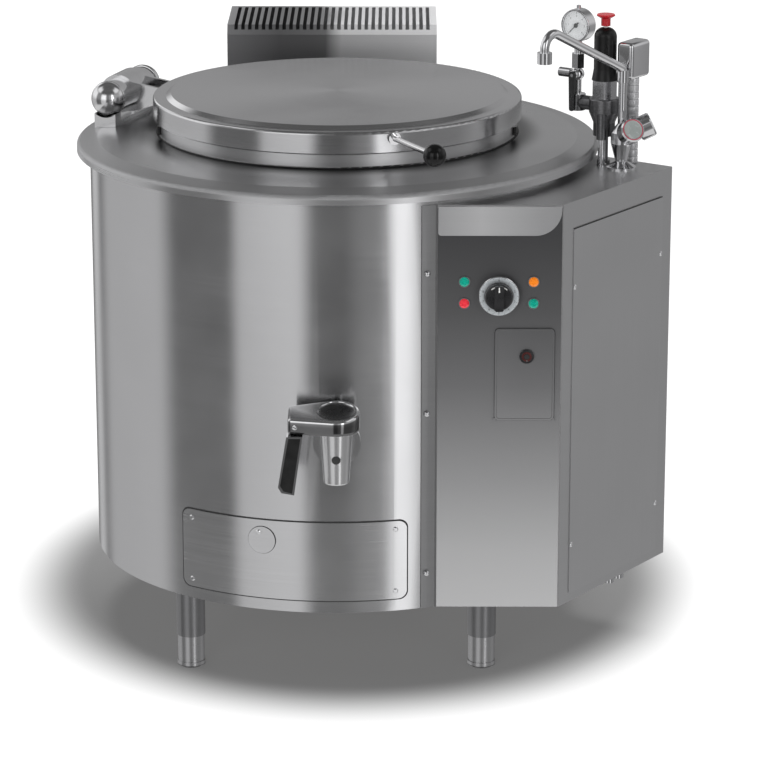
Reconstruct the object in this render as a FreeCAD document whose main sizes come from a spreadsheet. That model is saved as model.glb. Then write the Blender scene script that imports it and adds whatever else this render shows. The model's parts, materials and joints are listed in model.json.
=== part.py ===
import FreeCAD, Part
import math
import os
import Sketcher
from FreeCAD import Vector

# Gas boiling kettle, round, indirectly heated, about 150 litres.
# Millimetres, +Z up, the front towards -Y. The origin is on the floor under the middle of the kettle's
# bounding box. Every piece is placed from the drum's axis, which stands beside the origin because the
# control cabinet widens the kettle on one side and the flue deepens it at the back.

SIZES = {
    # Sheets and clearances
    "sheet": 1.5,
    "top_sheet": 2.5,
    "seat_gap": 0.3,
    "turn_gap": 0.08,
    "pass_gap": 0.5,
    "edge_break": 1,
    # Drum casing and worktop
    "casing_radius": 456,
    "casing_bottom": 150,
    "rim_radius": 480,
    "rim_lip_bottom": 902,
    "rim_edge_height": 918,
    "rim_crease_radius": 442,
    "rim_crease_height": 925,
    "rim_edge_round": 8,
    "neck_radius": 331,
    "neck_foot_height": 932,
    "neck_height": 955,
    "neck_round": 4,
    "base_thick": 3,
    "air_hole_radius": 135,
    # Vessel, jacket and lining
    "vessel_radius": 312,
    "vessel_wall": 2.5,
    "vessel_bottom": 440,
    "vessel_knuckle": 45,
    "jacket_radius": 352,
    "jacket_wall": 3,
    "jacket_bottom": 330,
    "jacket_top": 864,
    "jacket_knuckle": 60,
    "shroud_radius": 390,
    "blanket_top": 895,
    # Legs and feet
    "leg_circle": 413,
    "leg_angle": 50,
    "leg_radius": 26,
    "leg_wall": 3,
    "leg_bottom": 60,
    "leg_insert_top": 85,
    "foot_radius": 24.3,
    "foot_pad_radius": 25.5,
    "foot_pad_height": 10,
    "foot_chamfer": 2.5,
    "spindle_radius": 14,
    "spindle_top": 118,
    # Lid
    "lid_radius": 339,
    "lid_bottom": 961,
    "lid_ring_height": 999,
    "lid_crown_height": 1005,
    "lid_crown_radius": 306,
    "lid_shoulder": 9,
    "lid_edge_round": 5,
    "drip_ring_radius": 307,
    "drip_ring_depth": 11,
    "seal_width": 16,
    "seal_inset": 1,
    # Lid handle
    "handle_angle": -72,
    "handle_turn_angle": -63,
    "handle_height": 986,
    "handle_length": 154,
    "handle_rod_radius": 5.5,
    "handle_boss_radius": 11,
    "handle_boss_length": 6,
    "handle_rod_start": 3,
    "handle_rod_entry": 9,
    "handle_ball_radius": 20,
    # Counterbalanced hinge
    "hinge_radius": 422,
    "hinge_angle": 161.4,
    "hinge_height": 977,
    "barrel_radius": 30,
    "barrel_wall": 3,
    "barrel_half": 75,
    "barrel_end": 5,
    "shaft_inset": 12,
    "cap_radius": 32.5,
    "cap_length": 30,
    "cap_round": 18,
    "cap_hole_radius": 3,
    "shaft_radius": 8,
    "saddle_half_width": 21,
    "saddle_base_height": 934,
    "saddle_end_inset": 4,
    "saddle_drop": 14,
    "collar_radius": 36,
    "collar_half": 36,
    "arm_thick": 8,
    "arm_plate_half_angle": 6.5,
    "arm_plate_thick": 6,
    "arm_margin": 3,
    "arm_inset": 4,
    "spring_wire_radius": 3.5,
    "spring_pitch": 24,
    # Drain and tap
    "tap_x": 5,
    "tap_reach": 512,
    "drain_rise": 30,
    "drain_radius": 30,
    "drain_bore": 26,
    "drain_setback": 2,
    "tap_drop": 57,
    "tap_rise": 37,
    "tap_bottom_radius": 22.5,
    "tap_mouth_radius": 16.5,
    "tap_edge_round": 3,
    "tap_top_radius": 28.5,
    "tap_neck_radius": 26,
    "tap_flange_radius": 42,
    "tap_flange_thick": 8,
    "tap_way_radius": 16,
    "tap_mark_radius": 8,
    "tap_mark_drop": 9,
    "tap_mark_wall": 3,
    "plug_top_radius": 21,
    "plug_bottom_radius": 18.5,
    "mouth_depth": 24,
    "plug_port_radius": 14,
    "plug_stem_radius": 8,
    "plug_stem_height": 12,
    "head_radius": 41,
    "head_rise": 33,
    "head_fall": 9,
    "head_dish_radius": 36,
    "head_dish_depth": 7,
    "arm_reach": 84,
    "arm_end_half": 25,
    "arm_corner": 7,
    "grip_top_left": 81,
    "grip_top_right": 53,
    "grip_lean_angle": 15,
    "grip_drop": 8,
    "grip_toe_drop": 4,
    "grip_toe_width": 6,
    "grip_toe_height": 10,
    "grip_depth": 24,
    "grip_wall": 3.5,
    "grip_insert_rise": 1.5,
    # Front service cover
    "cover_turn_angle": -10.2,
    "cover_half_angle": 26.5,
    "cover_bottom": 173,
    "cover_top": 319,
    "cover_corner": 15,
    "cover_window_half": 144,
    "cover_margin": 24,
    "sight_angle": -106.4,
    "sight_height": 282,
    "sight_hole_radius": 15,
    "sight_disc_radius": 25,
    "sight_pivot_side": 6,
    "sight_pivot_rise": 15,
    "cover_screw_angle": 2.6,
    # Dome-head screws
    "screw_radius": 2.5,
    "screw_head_radius": 4.6,
    "screw_head_height": 2.4,
    # Burner and gas line
    "burner_radius": 190,
    "burner_tube": 16,
    "burner_height": 215,
    "burner_post_radius": 8,
    "burner_stub_end": 228,
    "burner_stub_wall": 2,
    "gas_angle": -52.5,
    "gas_line_radius": 503,
    "gas_tube": 11,
    "gas_bend": 35,
    "valve_left": 268,
    "valve_width": 62,
    "valve_depth": 40,
    "valve_bottom": 690,
    "valve_height": 80,
    "spindle_stub": 4,
    "inlet_x": 359,
    "inlet_height": 230,
    "inlet_tube": 10.5,
    "inlet_wall": 2,
    "inlet_bend": 22,
    "inlet_rise": 150,
    "inlet_thread": 13.2,
    "inlet_setback": 21,
    "inlet_reach": 50,
    "inlet_thread_length": 45,
    # Flue
    "flue_x": -19,
    "flue_width": 413,
    "flue_front": 483,
    "flue_depth": 213,
    "flue_bottom": 560,
    "flue_crease": 1016,
    "flue_top": 1034,
    "flue_bevel": 12,
    "flue_port_half": 84,
    "flue_port_bottom": 700,
    "flue_port_top": 800,
    "slot_count": 29,
    "slot_pitch": 13.5,
    "slot_width": 7,
    "slot_margin": 6,
    # Control cabinet
    "front_plane": -422,
    "corner_x": 400,
    "side_length": 364,
    "side_angle": 54.9,
    "cabinet_top": 890,
    "strip_start_angle": -70.4,
    "strip_sweep_angle": 4.2,
    "strip_screw_angle": -69.2,
    "strip_screw_low": 216,
    "strip_screw_middle": 513,
    "strip_screw_high": 768,
    "fascia_left": 182,
    "fascia_bottom": 835,
    "fascia_thick": 1.5,
    "fascia_curve": 46,
    "fascia_corner": 5,
    "fascia_margin": 3,
    "panel_inset": 32,
    "panel_bottom": 165,
    "panel_top": 840,
    "panel_corner": 4,
    "panel_screw_inset": 5,
    "panel_screw_low": 258,
    "panel_screw_high": 735,
    "window_margin": 14,
    # Dial and lamps
    "dial_x": 288,
    "dial_height": 730,
    "scale_radius": 35.5,
    "collar_depth": 14,
    "scale_thick": 3,
    "dial_foot_radius": 33.5,
    "dial_waist_radius": 30.5,
    "knob_radius": 24.5,
    "knob_depth": 20,
    "knob_base_depth": 9,
    "knob_base_round": 2,
    "knob_bar_half": 8,
    "knob_bar_inset": 2,
    "knob_bar_round": 4,
    "dial_stub_depth": 12,
    "lamp_radius": 8.5,
    "lamp_rise": 4,
    "lamp_depth": 10,
    "lamp_flange": 1.5,
    "lamp_left": 228,
    "lamp_right": 349,
    "lamp_high": 752,
    "lamp_low": 713,
    # Small door
    "door_left": 285,
    "door_right": 384,
    "door_bottom": 500,
    "door_top": 668,
    "door_thick": 3,
    "door_corner": 7,
    "door_pin_radius": 1,
    "door_overlap": 6,
    "lug_width": 4,
    "latch_side": 53,
    "latch_drop": 50,
    "latch_radius": 12.8,
    "latch_rise": 4,
    "latch_shank": 10,
    "cam_length": 20,
    "cam_thick": 2,
    # Valve group
    "valve_x": 486,
    "valve_y": -93,
    "supply_radius": 8,
    "supply_foot": 4,
    "supply_foot_height": 6,
    "socket_radius": 20,
    "socket_rise": 52,
    "socket_height": 24,
    "chamber_radius": 28,
    "chamber_taper": 19,
    "chamber_height": 26,
    "chamber_round": 3,
    "hex_radius": 25,
    "hex_height": 33,
    "cap_body_radius": 20.5,
    "hood_height": 96,
    "hood_skirt": 3.5,
    "hood_skirt_height": 20,
    "hood_round": 17,
    "knob_stem_radius": 4,
    "knob_stem_depth": 20,
    "knob_neck_radius": 8.5,
    "knob_neck_start": 3,
    "knob_rim_radius": 16.5,
    "knob_rise": 24,
    "knob_flare": 8,
    "knob_rim_height": 3,
    "boss_side": 8,
    "boss_front": -20,
    "boss_radius": 10,
    "boss_drop": 4,
    "blow_off_radius": 7,
    "blow_off_foot": 2,
    "blow_off_foot_height": 4,
    "gauge_side": -58,
    "gauge_arm_radius": 13,
    "gauge_arm_rise": 12,
    "post_margin": 2,
    "cock_rise": 51,
    "cock_radius": 12,
    "cock_seat": 4,
    "test_way_length": 20,
    "test_knob_start": 14,
    "test_knob_length": 24,
    "lever_pin_radius": 3,
    "lever_pin_reach": 9,
    "cock_lever_half": 7,
    "cock_lever_tip": 5,
    "cock_lever_length": 66,
    "cock_lever_thick": 4.5,
    "gauge_rise": 90,
    "gauge_radius": 30,
    "gauge_depth": 26,
    "gauge_face_radius": 27,
    "gauge_recess": 6,
    "case_back_round": 3,
    "case_front_round": 2,
    "glass_inset": 2,
    "glass_thick": 1.5,
    "gauge_stem_radius": 7,
    "gauge_nut_radius": 12.5,
    "gauge_nut_height": 26,
    "gauge_plug_radius": 4,
    "gauge_plug_height": 6,
    "needle_length": 21,
    "needle_tail": 8,
    "needle_half": 2.6,
    "needle_tip_half": 0.7,
    "needle_thick": 1.2,
    "needle_rest_angle": 135,
    "needle_post_radius": 1.2,
    "needle_post_height": 3.4,
    "test_knob_radius": 8.5,
    "switch_side": 42,
    "switch_back": 29,
    "switch_width": 34,
    "switch_length": 66,
    "nipple_height": 157,
    "switch_height": 77,
    "switch_corner": 9,
    "nipple_radius": 11,
    "thread_depth": 1.5,
    # Mixer
    "mixer_x": 516,
    "mixer_y": -134,
    "mixer_base_radius": 27,
    "mixer_foot_height": 3,
    "mixer_throat_radius": 11,
    "mixer_throat_height": 13,
    "mixer_joint_rise": 56,
    "mixer_joint_radius": 20,
    "joint_half": 10,
    "joint_rise": 26,
    "mixer_column_radius": 8,
    "mixer_column_height": 110,
    "spigot_radius": 6,
    "spigot_height": 10,
    "column_collar": 8,
    "tail_offset": 16,
    "tail_radius": 7.5,
    "tail_thread_radius": 10.4,
    "tail_thread_length": 45,
    "tail_reach": 50,
    "seat_radius": 13,
    "seat_length": 32,
    "seat_spread_angle": 37,
    "seat_rise_angle": 25,
    "seat_pin_radius": 4,
    "seat_pin_reach": 14,
    "water_knob_radius": 22,
    "water_knob_length": 28,
    "water_knob_chamfer": 2.5,
    "spout_angle": 229,
    "spout_radius": 8,
    "spout_reach": 226,
    "spout_shoulder_rise": 16,
    "spout_climb": 106,
    "spout_drop": 63,
    "spout_bend": 24,
    "spout_foot_bend": 14,
    "spout_sleeve_length": 14,
    "spout_sleeve_radius": 10.5,
    "nozzle_radius": 13,
    "nozzle_height": 20,
    "nozzle_bore": 9,
    "nozzle_bore_depth": 11,
}

doc = FreeCAD.newDocument("BoilingKettle")
sheet = doc.addObject("Spreadsheet::Sheet", "Sizes")
for row, (alias, number) in enumerate(SIZES.items(), start=1):
    sheet.set(f"A{row}", alias)
    sheet.set(f"B{row}", str(number))
    sheet.setAlias(f"B{row}", alias)
doc.recompute()


class Size:
    """A number together with the expression over the sheet that gives it."""

    def __init__(self, value, text):
        self.value = float(value)
        self.text = text

    def __add__(self, other):
        other = size(other)
        return Size(self.value + other.value, f"({self.text} + {other.text})")

    def __radd__(self, other):
        return size(other) + self

    def __sub__(self, other):
        other = size(other)
        return Size(self.value - other.value, f"({self.text} - {other.text})")

    def __rsub__(self, other):
        return size(other) - self

    def __mul__(self, other):
        other = size(other)
        return Size(self.value * other.value, f"({self.text} * {other.text})")

    def __rmul__(self, other):
        return size(other) * self

    def __truediv__(self, other):
        other = size(other)
        return Size(self.value / other.value, f"({self.text} / {other.text})")

    def __neg__(self):
        return Size(-self.value, f"(0 - {self.text})")


def size(value):
    if isinstance(value, Size):
        return value
    return Size(value, f"({value})" if value < 0 else str(value))


def sine(angle):
    return Size(math.sin(math.radians(angle.value)), f"sin({angle.text})")


def cosine(angle):
    return Size(math.cos(math.radians(angle.value)), f"cos({angle.text})")


def tangent(angle):
    return Size(math.tan(math.radians(angle.value)), f"tan({angle.text})")


class Sheet:
    """Gives each alias of the sheet as a Size."""

    def __getattr__(self, alias):
        return Size(SIZES[alias], f"Sizes.{alias}")


s = Sheet()
nodes = {}


# Placing

class Frame:
    """A place and direction that pieces are built in."""

    def __init__(self, text):
        self.text = text

    def at(self, x=0, y=0, z=0, turn=0, tilt=0):
        x, y, z, turn, tilt = [size(item) for item in (x, y, z, turn, tilt)]
        move = f"placement(vector({x.text}; {y.text}; {z.text}); rotation(vector(0; 0; 1); {turn.text}))"
        text = f"{self.text} * {move}" if self.text else move
        if tilt.text != "0":
            text += f" * placement(vector(0; 0; 0); rotation(vector(1; 0; 0); {tilt.text}))"
        return Frame(text)


side_corner_x = s.corner_x + s.side_length * cosine(s.side_angle)
flue_back = s.flue_front + s.flue_depth
drum_x = (s.rim_radius - side_corner_x) / 2
drum_y = (s.tap_reach + s.head_radius - flue_back) / 2
drum = Frame("").at(drum_x, drum_y)

# Heights that stand on one another

drain_level = s.vessel_bottom + s.drain_rise
tap_foot = drain_level - s.tap_drop
tap_head = drain_level + s.tap_rise
plug_foot = tap_foot + s.mouth_depth
head_front = tap_head + s.head_rise
head_back = head_front + s.head_fall
grip_foot = tap_foot - s.grip_drop
latch_middle = s.door_left + s.latch_side
latch_level = s.door_top - s.latch_drop
socket_foot = s.cabinet_top + s.socket_rise
socket_head = socket_foot + s.socket_height
chamber_foot = socket_head + s.chamber_taper
chamber_head = chamber_foot + s.chamber_height
hex_head = chamber_head + s.hex_height
hood_head = hex_head + s.hood_height
knob_head = hood_head + s.knob_rise
arm_level = chamber_foot + s.gauge_arm_rise
cock_level = arm_level + s.cock_rise
gauge_level = cock_level + s.gauge_rise
switch_foot = s.cabinet_top + s.nipple_height
switch_head = switch_foot + s.switch_height
joint_level = s.cabinet_top + s.mixer_joint_rise
column_head = joint_level + s.mixer_column_height
shoulder_level = column_head + s.spout_shoulder_rise
peak_level = shoulder_level + s.spout_climb
nozzle_level = peak_level - s.spout_drop


def fix(target, attribute, value):
    """Sets a property to a size and ties it to the sheet."""
    value = size(value)
    setattr(target, attribute, value.value)
    target.setExpression(attribute, value.text)


def place(target, frame):
    target.setExpression("Placement", frame.text)
    return target


def node(name, shape_object):
    shape_object.Label = name
    nodes[name] = shape_object
    return shape_object


# Sketches

def new_body(name, frame=drum):
    body = doc.addObject("PartDesign::Body", name)
    place(body, frame)
    return body


def new_sketch(body, plane, start=0):
    sketch = body.newObject("Sketcher::SketchObject", "Profile")
    support = [item for item in body.Origin.OriginFeatures if item.Role == plane + "_Plane"][0]
    sketch.AttachmentSupport = (support, [""])
    sketch.MapMode = "FlatFace"
    start = size(start)
    if start.text != "0":
        sketch.setExpression("AttachmentOffset.Base.z", start.text)
    return sketch


def pin_point(sketch, geometry, point, u, v):
    """Holds a point of the sketch at a place given by two sizes."""
    for kind, value in (("DistanceX", size(u)), ("DistanceY", size(v))):
        if value.text == "0":
            axis = -2 if kind == "DistanceX" else -1
            sketch.addConstraint(Sketcher.Constraint("PointOnObject", geometry, point, axis))
            continue
        index = sketch.addConstraint(Sketcher.Constraint(kind, -1, 1, geometry, point, value.value))
        sketch.setExpression(f"Constraints[{index}]", value.text)


def corner_arc(before, corner, after, radius):
    """Centre, ends and angles of the arc that rounds a corner."""
    back = (before - corner).normalize()
    ahead = (after - corner).normalize()
    half = back.getAngle(ahead) / 2
    reach = radius / math.tan(half)
    centre = corner + (back + ahead).normalize() * (radius / math.sin(half))
    return centre, corner + back * reach, corner + ahead * reach


def outline(sketch, corners, closed=True):
    """Draws straight sides between corners (u, v) or rounded corners (u, v, radius)."""
    count = len(corners)
    points = [Vector(size(item[0]).value, size(item[1]).value, 0) for item in corners]
    rounds = {}
    for index, item in enumerate(corners):
        if len(item) == 3:
            rounds[index] = corner_arc(points[index - 1], points[index], points[(index + 1) % count],
                                       size(item[2]).value)
    sides = count if closed else count - 1
    lines = []
    for index in range(sides):
        after = (index + 1) % count
        start = rounds[index][2] if index in rounds else points[index]
        end = rounds[after][1] if after in rounds else points[after]
        lines.append(sketch.addGeometry(Part.LineSegment(start, end), False))
    for index, item in enumerate(corners):
        before = lines[index - 1] if closed or index > 0 else None
        after = lines[index] if index < sides else None
        if index not in rounds:
            if before is not None and after is not None:
                sketch.addConstraint(Sketcher.Constraint("Coincident", before, 2, after, 1))
            line, point = (after, 1) if after is not None else (before, 2)
            pin_point(sketch, line, point, item[0], item[1])
            continue
        centre, first, second = rounds[index]
        radius = size(item[2])
        middle = centre + (points[index] - centre).normalize() * radius.value
        arc = sketch.addGeometry(Part.Arc(first, middle, second), False)
        ends = ((1, 2), (2, 1))
        start_point = sketch.getPoint(arc, 1)
        if start_point.distanceToPoint(first) > start_point.distanceToPoint(second):
            ends = ((2, 2), (1, 1))
        sketch.addConstraint(Sketcher.Constraint("Tangent", before, ends[0][1], arc, ends[0][0]))
        sketch.addConstraint(Sketcher.Constraint("Tangent", arc, ends[1][0], after, ends[1][1]))
        limit = sketch.addConstraint(Sketcher.Constraint("Radius", arc, radius.value))
        sketch.setExpression(f"Constraints[{limit}]", radius.text)
        corner = sketch.addGeometry(Part.Point(points[index]), True)
        pin_point(sketch, corner, 1, item[0], item[1])
        sketch.addConstraint(Sketcher.Constraint("PointOnObject", corner, 1, before))
        sketch.addConstraint(Sketcher.Constraint("PointOnObject", corner, 1, after))
    return sketch


def circle(sketch, u, v, radius):
    radius = size(radius)
    centre = Vector(size(u).value, size(v).value, 0)
    ring = sketch.addGeometry(Part.Circle(centre, Vector(0, 0, 1), radius.value), False)
    pin_point(sketch, ring, 3, u, v)
    limit = sketch.addConstraint(Sketcher.Constraint("Radius", ring, radius.value))
    sketch.setExpression(f"Constraints[{limit}]", radius.text)
    return sketch


# Solid features

def add_pad(body, sketch, length, midplane=False):
    pad = body.newObject("PartDesign::Pad", "Pad")
    pad.Profile = sketch
    pad.Midplane = midplane
    fix(pad, "Length", length)
    body.Tip = pad
    return pad


def add_pocket(body, sketch, length, forward=False, midplane=False):
    """Cuts away from the sketch, against its normal or, forward, along it."""
    doc.recompute()
    before = body.Shape.Volume
    pocket = body.newObject("PartDesign::Pocket", "Pocket")
    pocket.Profile = sketch
    pocket.Reversed = forward
    pocket.Midplane = midplane
    fix(pocket, "Length", length)
    body.Tip = pocket
    doc.recompute()
    if body.Shape.Volume > before - 1e-3:
        raise RuntimeError(f"a pocket of {body.Label} cuts nothing")
    return pocket


def add_turn(body, sketch, axis="V_Axis", sweep=360, groove=False):
    kind = "Groove" if groove else "Revolution"
    turn = body.newObject(f"PartDesign::{kind}", kind)
    turn.Profile = sketch
    turn.ReferenceAxis = (sketch, [axis])
    fix(turn, "Angle", sweep)
    body.Tip = turn
    return turn


def lathe(name, corners, frame=drum, sweep=360):
    """A piece turned about the frame's upright axis; corners are (radius, height)."""
    body = new_body(name, frame)
    turn = add_turn(body, outline(new_sketch(body, "XZ"), corners), "V_Axis", sweep)
    turn.Midplane = size(sweep).value < 360
    return body


def prism(name, plane, corners, start, length, frame=drum, midplane=False):
    body = new_body(name, frame)
    add_pad(body, outline(new_sketch(body, plane, start), corners), length, midplane)
    return body


def rod(name, radius, length, frame):
    """A plain cylinder along the frame's Z axis."""
    cylinder = doc.addObject("Part::Cylinder", name)
    fix(cylinder, "Radius", radius)
    fix(cylinder, "Height", length)
    return place(cylinder, frame)


def block(name, length, width, height, frame):
    """A plain box from the frame's origin along its three axes."""
    box = doc.addObject("Part::Box", name)
    fix(box, "Length", length)
    fix(box, "Width", width)
    fix(box, "Height", height)
    return place(box, frame)


def joined(name, pieces):
    fuse = doc.addObject("Part::MultiFuse", name)
    fuse.Shapes = pieces
    fuse.Refine = True
    return fuse


def grouped(name, pieces):
    group = doc.addObject("Part::Compound", name)
    group.Links = pieces
    return group


def without(name, base, tools):
    cut = doc.addObject("Part::Cut", name)
    cut.Base = base
    cut.Tool = tools[0] if len(tools) == 1 else joined(name + "Tools", tools)
    return cut


def outward(angle, distance, height, tilt=90):
    """A frame at a place round the drum whose Z axis points straight out from the drum's axis."""
    angle = size(angle)
    return drum.at(distance * cosine(angle), distance * sine(angle), height, angle + 90, tilt)


# Cutting tools run on past a piece, and the parts of one solid run into each other

past = 10
lap = 1

# Screws: a dome head on a short shank, standing on the frame's XY plane with the shank below it

dome_foot = 0.4
dome_crown = 0.6
screw_length = s.sheet * 2 + s.seat_gap
screws = []


def screw(frame):
    body = new_body("Screw", frame)
    head = s.screw_head_height
    corners = [
        (0, -screw_length),
        (s.screw_radius, -screw_length),
        (s.screw_radius, 0),
        (s.screw_head_radius, 0),
        (s.screw_head_radius, head * dome_foot),
        (s.screw_head_radius * dome_crown, head),
        (0, head),
    ]
    add_turn(body, outline(new_sketch(body, "XZ"), corners))
    screws.append(body)


def screw_hole(frame):
    """The clearance hole that goes with a screw at the same frame."""
    return rod("ScrewHole", s.screw_radius + s.turn_gap, screw_length * 2, frame.at(0, 0, -screw_length))


# Tools that several sheets share

lining_depth = s.casing_radius - s.jacket_radius
drain_passage = rod("DrainPassage", s.drain_radius + s.pass_gap, s.casing_radius,
                    drum.at(s.tap_x, -(s.vessel_radius + s.jacket_radius) / 2, drain_level, 0, 90))
gas_passage = rod("GasPassage", s.gas_tube + s.pass_gap, lining_depth + past,
                  outward(s.gas_angle, s.jacket_radius, s.burner_height))
port_wall = s.sheet + s.pass_gap
flue_passage = block("FluePassage", (s.flue_port_half + port_wall) * 2, lining_depth + past,
                     s.flue_port_top - s.flue_port_bottom + port_wall * 2,
                     drum.at(s.flue_x - s.flue_port_half - port_wall, s.jacket_radius,
                             s.flue_port_bottom - port_wall))
window_bottom = s.cover_bottom + s.cover_margin
window_height = s.cover_top - s.cover_bottom - s.cover_margin * 2
window_passage = block("WindowPassage", s.cover_window_half * 2, lining_depth + past, window_height,
                       drum.at(0, 0, 0, s.cover_turn_angle).at(-s.cover_window_half, -s.casing_radius - past,
                                                         window_bottom))

# Front service cover and its screws

cover_inner = s.casing_radius + s.seat_gap
cover_outer = cover_inner + s.sheet
cover_angle = s.cover_turn_angle - 90
cover_profile = [
    (cover_inner, s.cover_bottom),
    (cover_outer, s.cover_bottom),
    (cover_outer, s.cover_top),
    (cover_inner, s.cover_top),
]
cover_half = cover_outer * sine(s.cover_half_angle)
cover_ring = lathe("CoverRing", cover_profile)
cover_area = prism("CoverArea", "XZ", [
    (-cover_half, s.cover_bottom, s.cover_corner),
    (cover_half, s.cover_bottom, s.cover_corner),
    (cover_half, s.cover_top, s.cover_corner),
    (-cover_half, s.cover_top, s.cover_corner),
], s.casing_radius / 2, s.casing_radius, drum.at(0, 0, 0, s.cover_turn_angle))
cover_sheet = doc.addObject("Part::Common", "CoverSheet")
cover_sheet.Base = cover_ring
cover_sheet.Tool = cover_area

cover_screw_frames = []
for side in (-1, 1):
    angle = cover_angle + (s.cover_half_angle - s.cover_screw_angle) * side
    for height in (s.cover_bottom + s.cover_corner, s.cover_top - s.cover_corner):
        cover_screw_frames.append(outward(angle, cover_outer, height))
sight_outer = cover_outer + s.seat_gap + s.sheet
sight_frame = outward(s.sight_angle, cover_outer, s.sight_height)
sight_face = outward(s.sight_angle, sight_outer, s.sight_height)
pivot_frame = sight_face.at(-s.sight_pivot_side, s.sight_pivot_rise, 0)
cover_holes = [screw_hole(frame) for frame in cover_screw_frames + [pivot_frame]]
sight_hole = rod("SightHole", s.sight_hole_radius, past * 2, sight_frame.at(0, 0, -past))
node("front_cover", without("front_cover", cover_sheet, cover_holes + [sight_hole]))

sight_body = new_body("SightDisc", sight_frame)
sight_sketch = circle(new_sketch(sight_body, "XY", s.seat_gap), 0, 0, s.sight_disc_radius)
circle(sight_sketch, -s.sight_pivot_side, s.sight_pivot_rise, s.screw_radius + s.turn_gap)
add_pad(sight_body, sight_sketch, s.sheet)
node("sight_disc", sight_body)
for frame in cover_screw_frames:
    screw(frame)
screw(pivot_frame.at(0, 0, s.turn_gap))

# Control cabinet: its plan runs from inside the drum along the front, the side and the rear, and the
# drum's own round then cuts off what reaches inside it

front = s.front_plane
alpha = s.side_angle
rear_x = s.corner_x + s.side_length * cosine(alpha)
rear_y = front + s.side_length * sine(alpha)
rear_length = s.side_length * 0.8
inside_x = s.corner_x * 0.3
side = drum.at(s.corner_x, front, 0, alpha)
front_face = drum.at(0, front, 0)
cabinet_plan = [
    (inside_x, front),
    (s.corner_x, front),
    (rear_x, rear_y),
    (rear_x - rear_length * sine(alpha), rear_y + rear_length * cosine(alpha)),
]
wall = s.sheet
hollow_plan = [
    (inside_x - past, front + wall),
    (s.corner_x - wall * tangent(alpha / 2), front + wall),
    (rear_x - wall * (sine(alpha) + cosine(alpha)), rear_y + wall * (cosine(alpha) - sine(alpha))),
    (rear_x - wall * cosine(alpha) - (rear_length + past) * sine(alpha),
     rear_y - wall * sine(alpha) + (rear_length + past) * cosine(alpha)),
]
cabinet_height = s.cabinet_top - s.casing_bottom
cabinet_body = prism("CabinetSheet", "XY", cabinet_plan, s.casing_bottom, cabinet_height)
hollow_sketch = outline(new_sketch(cabinet_body, "XY", s.casing_bottom + wall), hollow_plan)
add_pocket(cabinet_body, hollow_sketch, cabinet_height - wall * 2, forward=True)
strip_profile = [
    (cover_inner, s.casing_bottom),
    (cover_inner + wall, s.casing_bottom),
    (cover_inner + wall, s.cabinet_top),
    (cover_inner, s.cabinet_top),
]
strip_middle = s.strip_start_angle + s.strip_sweep_angle / 2
strip_body = lathe("StripSheet", strip_profile, drum.at(0, 0, 0, strip_middle), s.strip_sweep_angle)
lug_depth = s.door_thick + s.seat_gap
door_pivot = front_face.at(0, -s.seat_gap - s.door_thick / 2, s.door_bottom + s.door_thick / 2)
lugs = []
for place_x in (s.door_left - s.seat_gap - s.lug_width, s.door_right + s.seat_gap):
    lugs.append(block("DoorLug", s.lug_width, lug_depth, s.door_thick * 2,
                      front_face.at(place_x, -lug_depth, s.door_bottom - s.door_thick / 2)))
door_width = s.door_right - s.door_left
pin_hole = rod("DoorPinHole", s.door_pin_radius + s.turn_gap, door_width + past * 2,
               door_pivot.at(s.door_left - past, 0, 0, 90, 90))
strip_screw_frames = []
for height in (s.strip_screw_low, s.strip_screw_middle, s.strip_screw_high):
    strip_screw_frames.append(outward(s.strip_screw_angle, cover_inner + wall, height))
panel_screw_frames = []
for along in (s.panel_inset + s.panel_screw_inset, s.side_length - s.panel_inset - s.panel_screw_inset):
    for height in (s.panel_screw_low, s.panel_screw_high):
        panel_screw_frames.append(side.at(along, -s.sheet, height, 0, 90))
cabinet_holes = [screw_hole(frame) for frame in strip_screw_frames + panel_screw_frames]
drum_clearance = rod("DrumClearance", cover_inner, s.cabinet_top, drum.at(0, 0, s.casing_bottom - past))
door_window = block("DoorWindow", door_width - s.door_overlap * 2, past * 2,
                    s.door_top - s.door_bottom - s.door_overlap * 2,
                    front_face.at(s.door_left + s.door_overlap, -past, s.door_bottom + s.door_overlap))
panel_length = s.side_length - s.panel_inset * 2
side_window = block("SideWindow", panel_length - s.window_margin * 2, past * 2,
                    s.panel_top - s.panel_bottom - s.window_margin * 2,
                    side.at(s.panel_inset + s.window_margin, -past, s.panel_bottom + s.window_margin))
lamp_places = {
    "lamps_green": [(s.lamp_left, s.lamp_high), (s.lamp_right, s.lamp_low)],
    "lamp_red": [(s.lamp_left, s.lamp_low)],
    "lamp_amber": [(s.lamp_right, s.lamp_high)],
}
lamp_hole_radius = s.lamp_radius - s.lamp_flange + s.seat_gap
front_openings = [door_window, side_window]
for places in lamp_places.values():
    for lamp_x, lamp_z in places:
        front_openings.append(rod("LampHole", lamp_hole_radius, past * 2,
                                  front_face.at(lamp_x, past, lamp_z, 0, 90)))
front_openings.append(rod("DialHole", s.spindle_stub + s.pass_gap, past * 2,
                          front_face.at(s.dial_x, past, s.dial_height, 0, 90)))
inlet_run = (s.side_length + (s.corner_x - s.inlet_x) * cosine(alpha) - s.inlet_setback * sine(alpha)
             + s.inlet_reach)
inlet_y = front + s.inlet_setback
inlet_frame = drum.at(s.inlet_x, inlet_y, s.inlet_height, alpha - 90)
front_openings.append(rod("InletHole", s.inlet_thread + s.pass_gap, past * 2,
                          inlet_frame.at(0, inlet_run - s.inlet_reach - past, 0, 0, -90)))
valve_frame = drum.at(s.valve_x, s.valve_y, 0, alpha - 90)
mixer_frame = drum.at(s.mixer_x, s.mixer_y, 0, alpha - 90)
switch_frame = valve_frame.at(s.switch_side, s.switch_back, 0)
tail_frames = [mixer_frame.at(0, -s.tail_offset), mixer_frame.at(0, s.tail_offset)]
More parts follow.
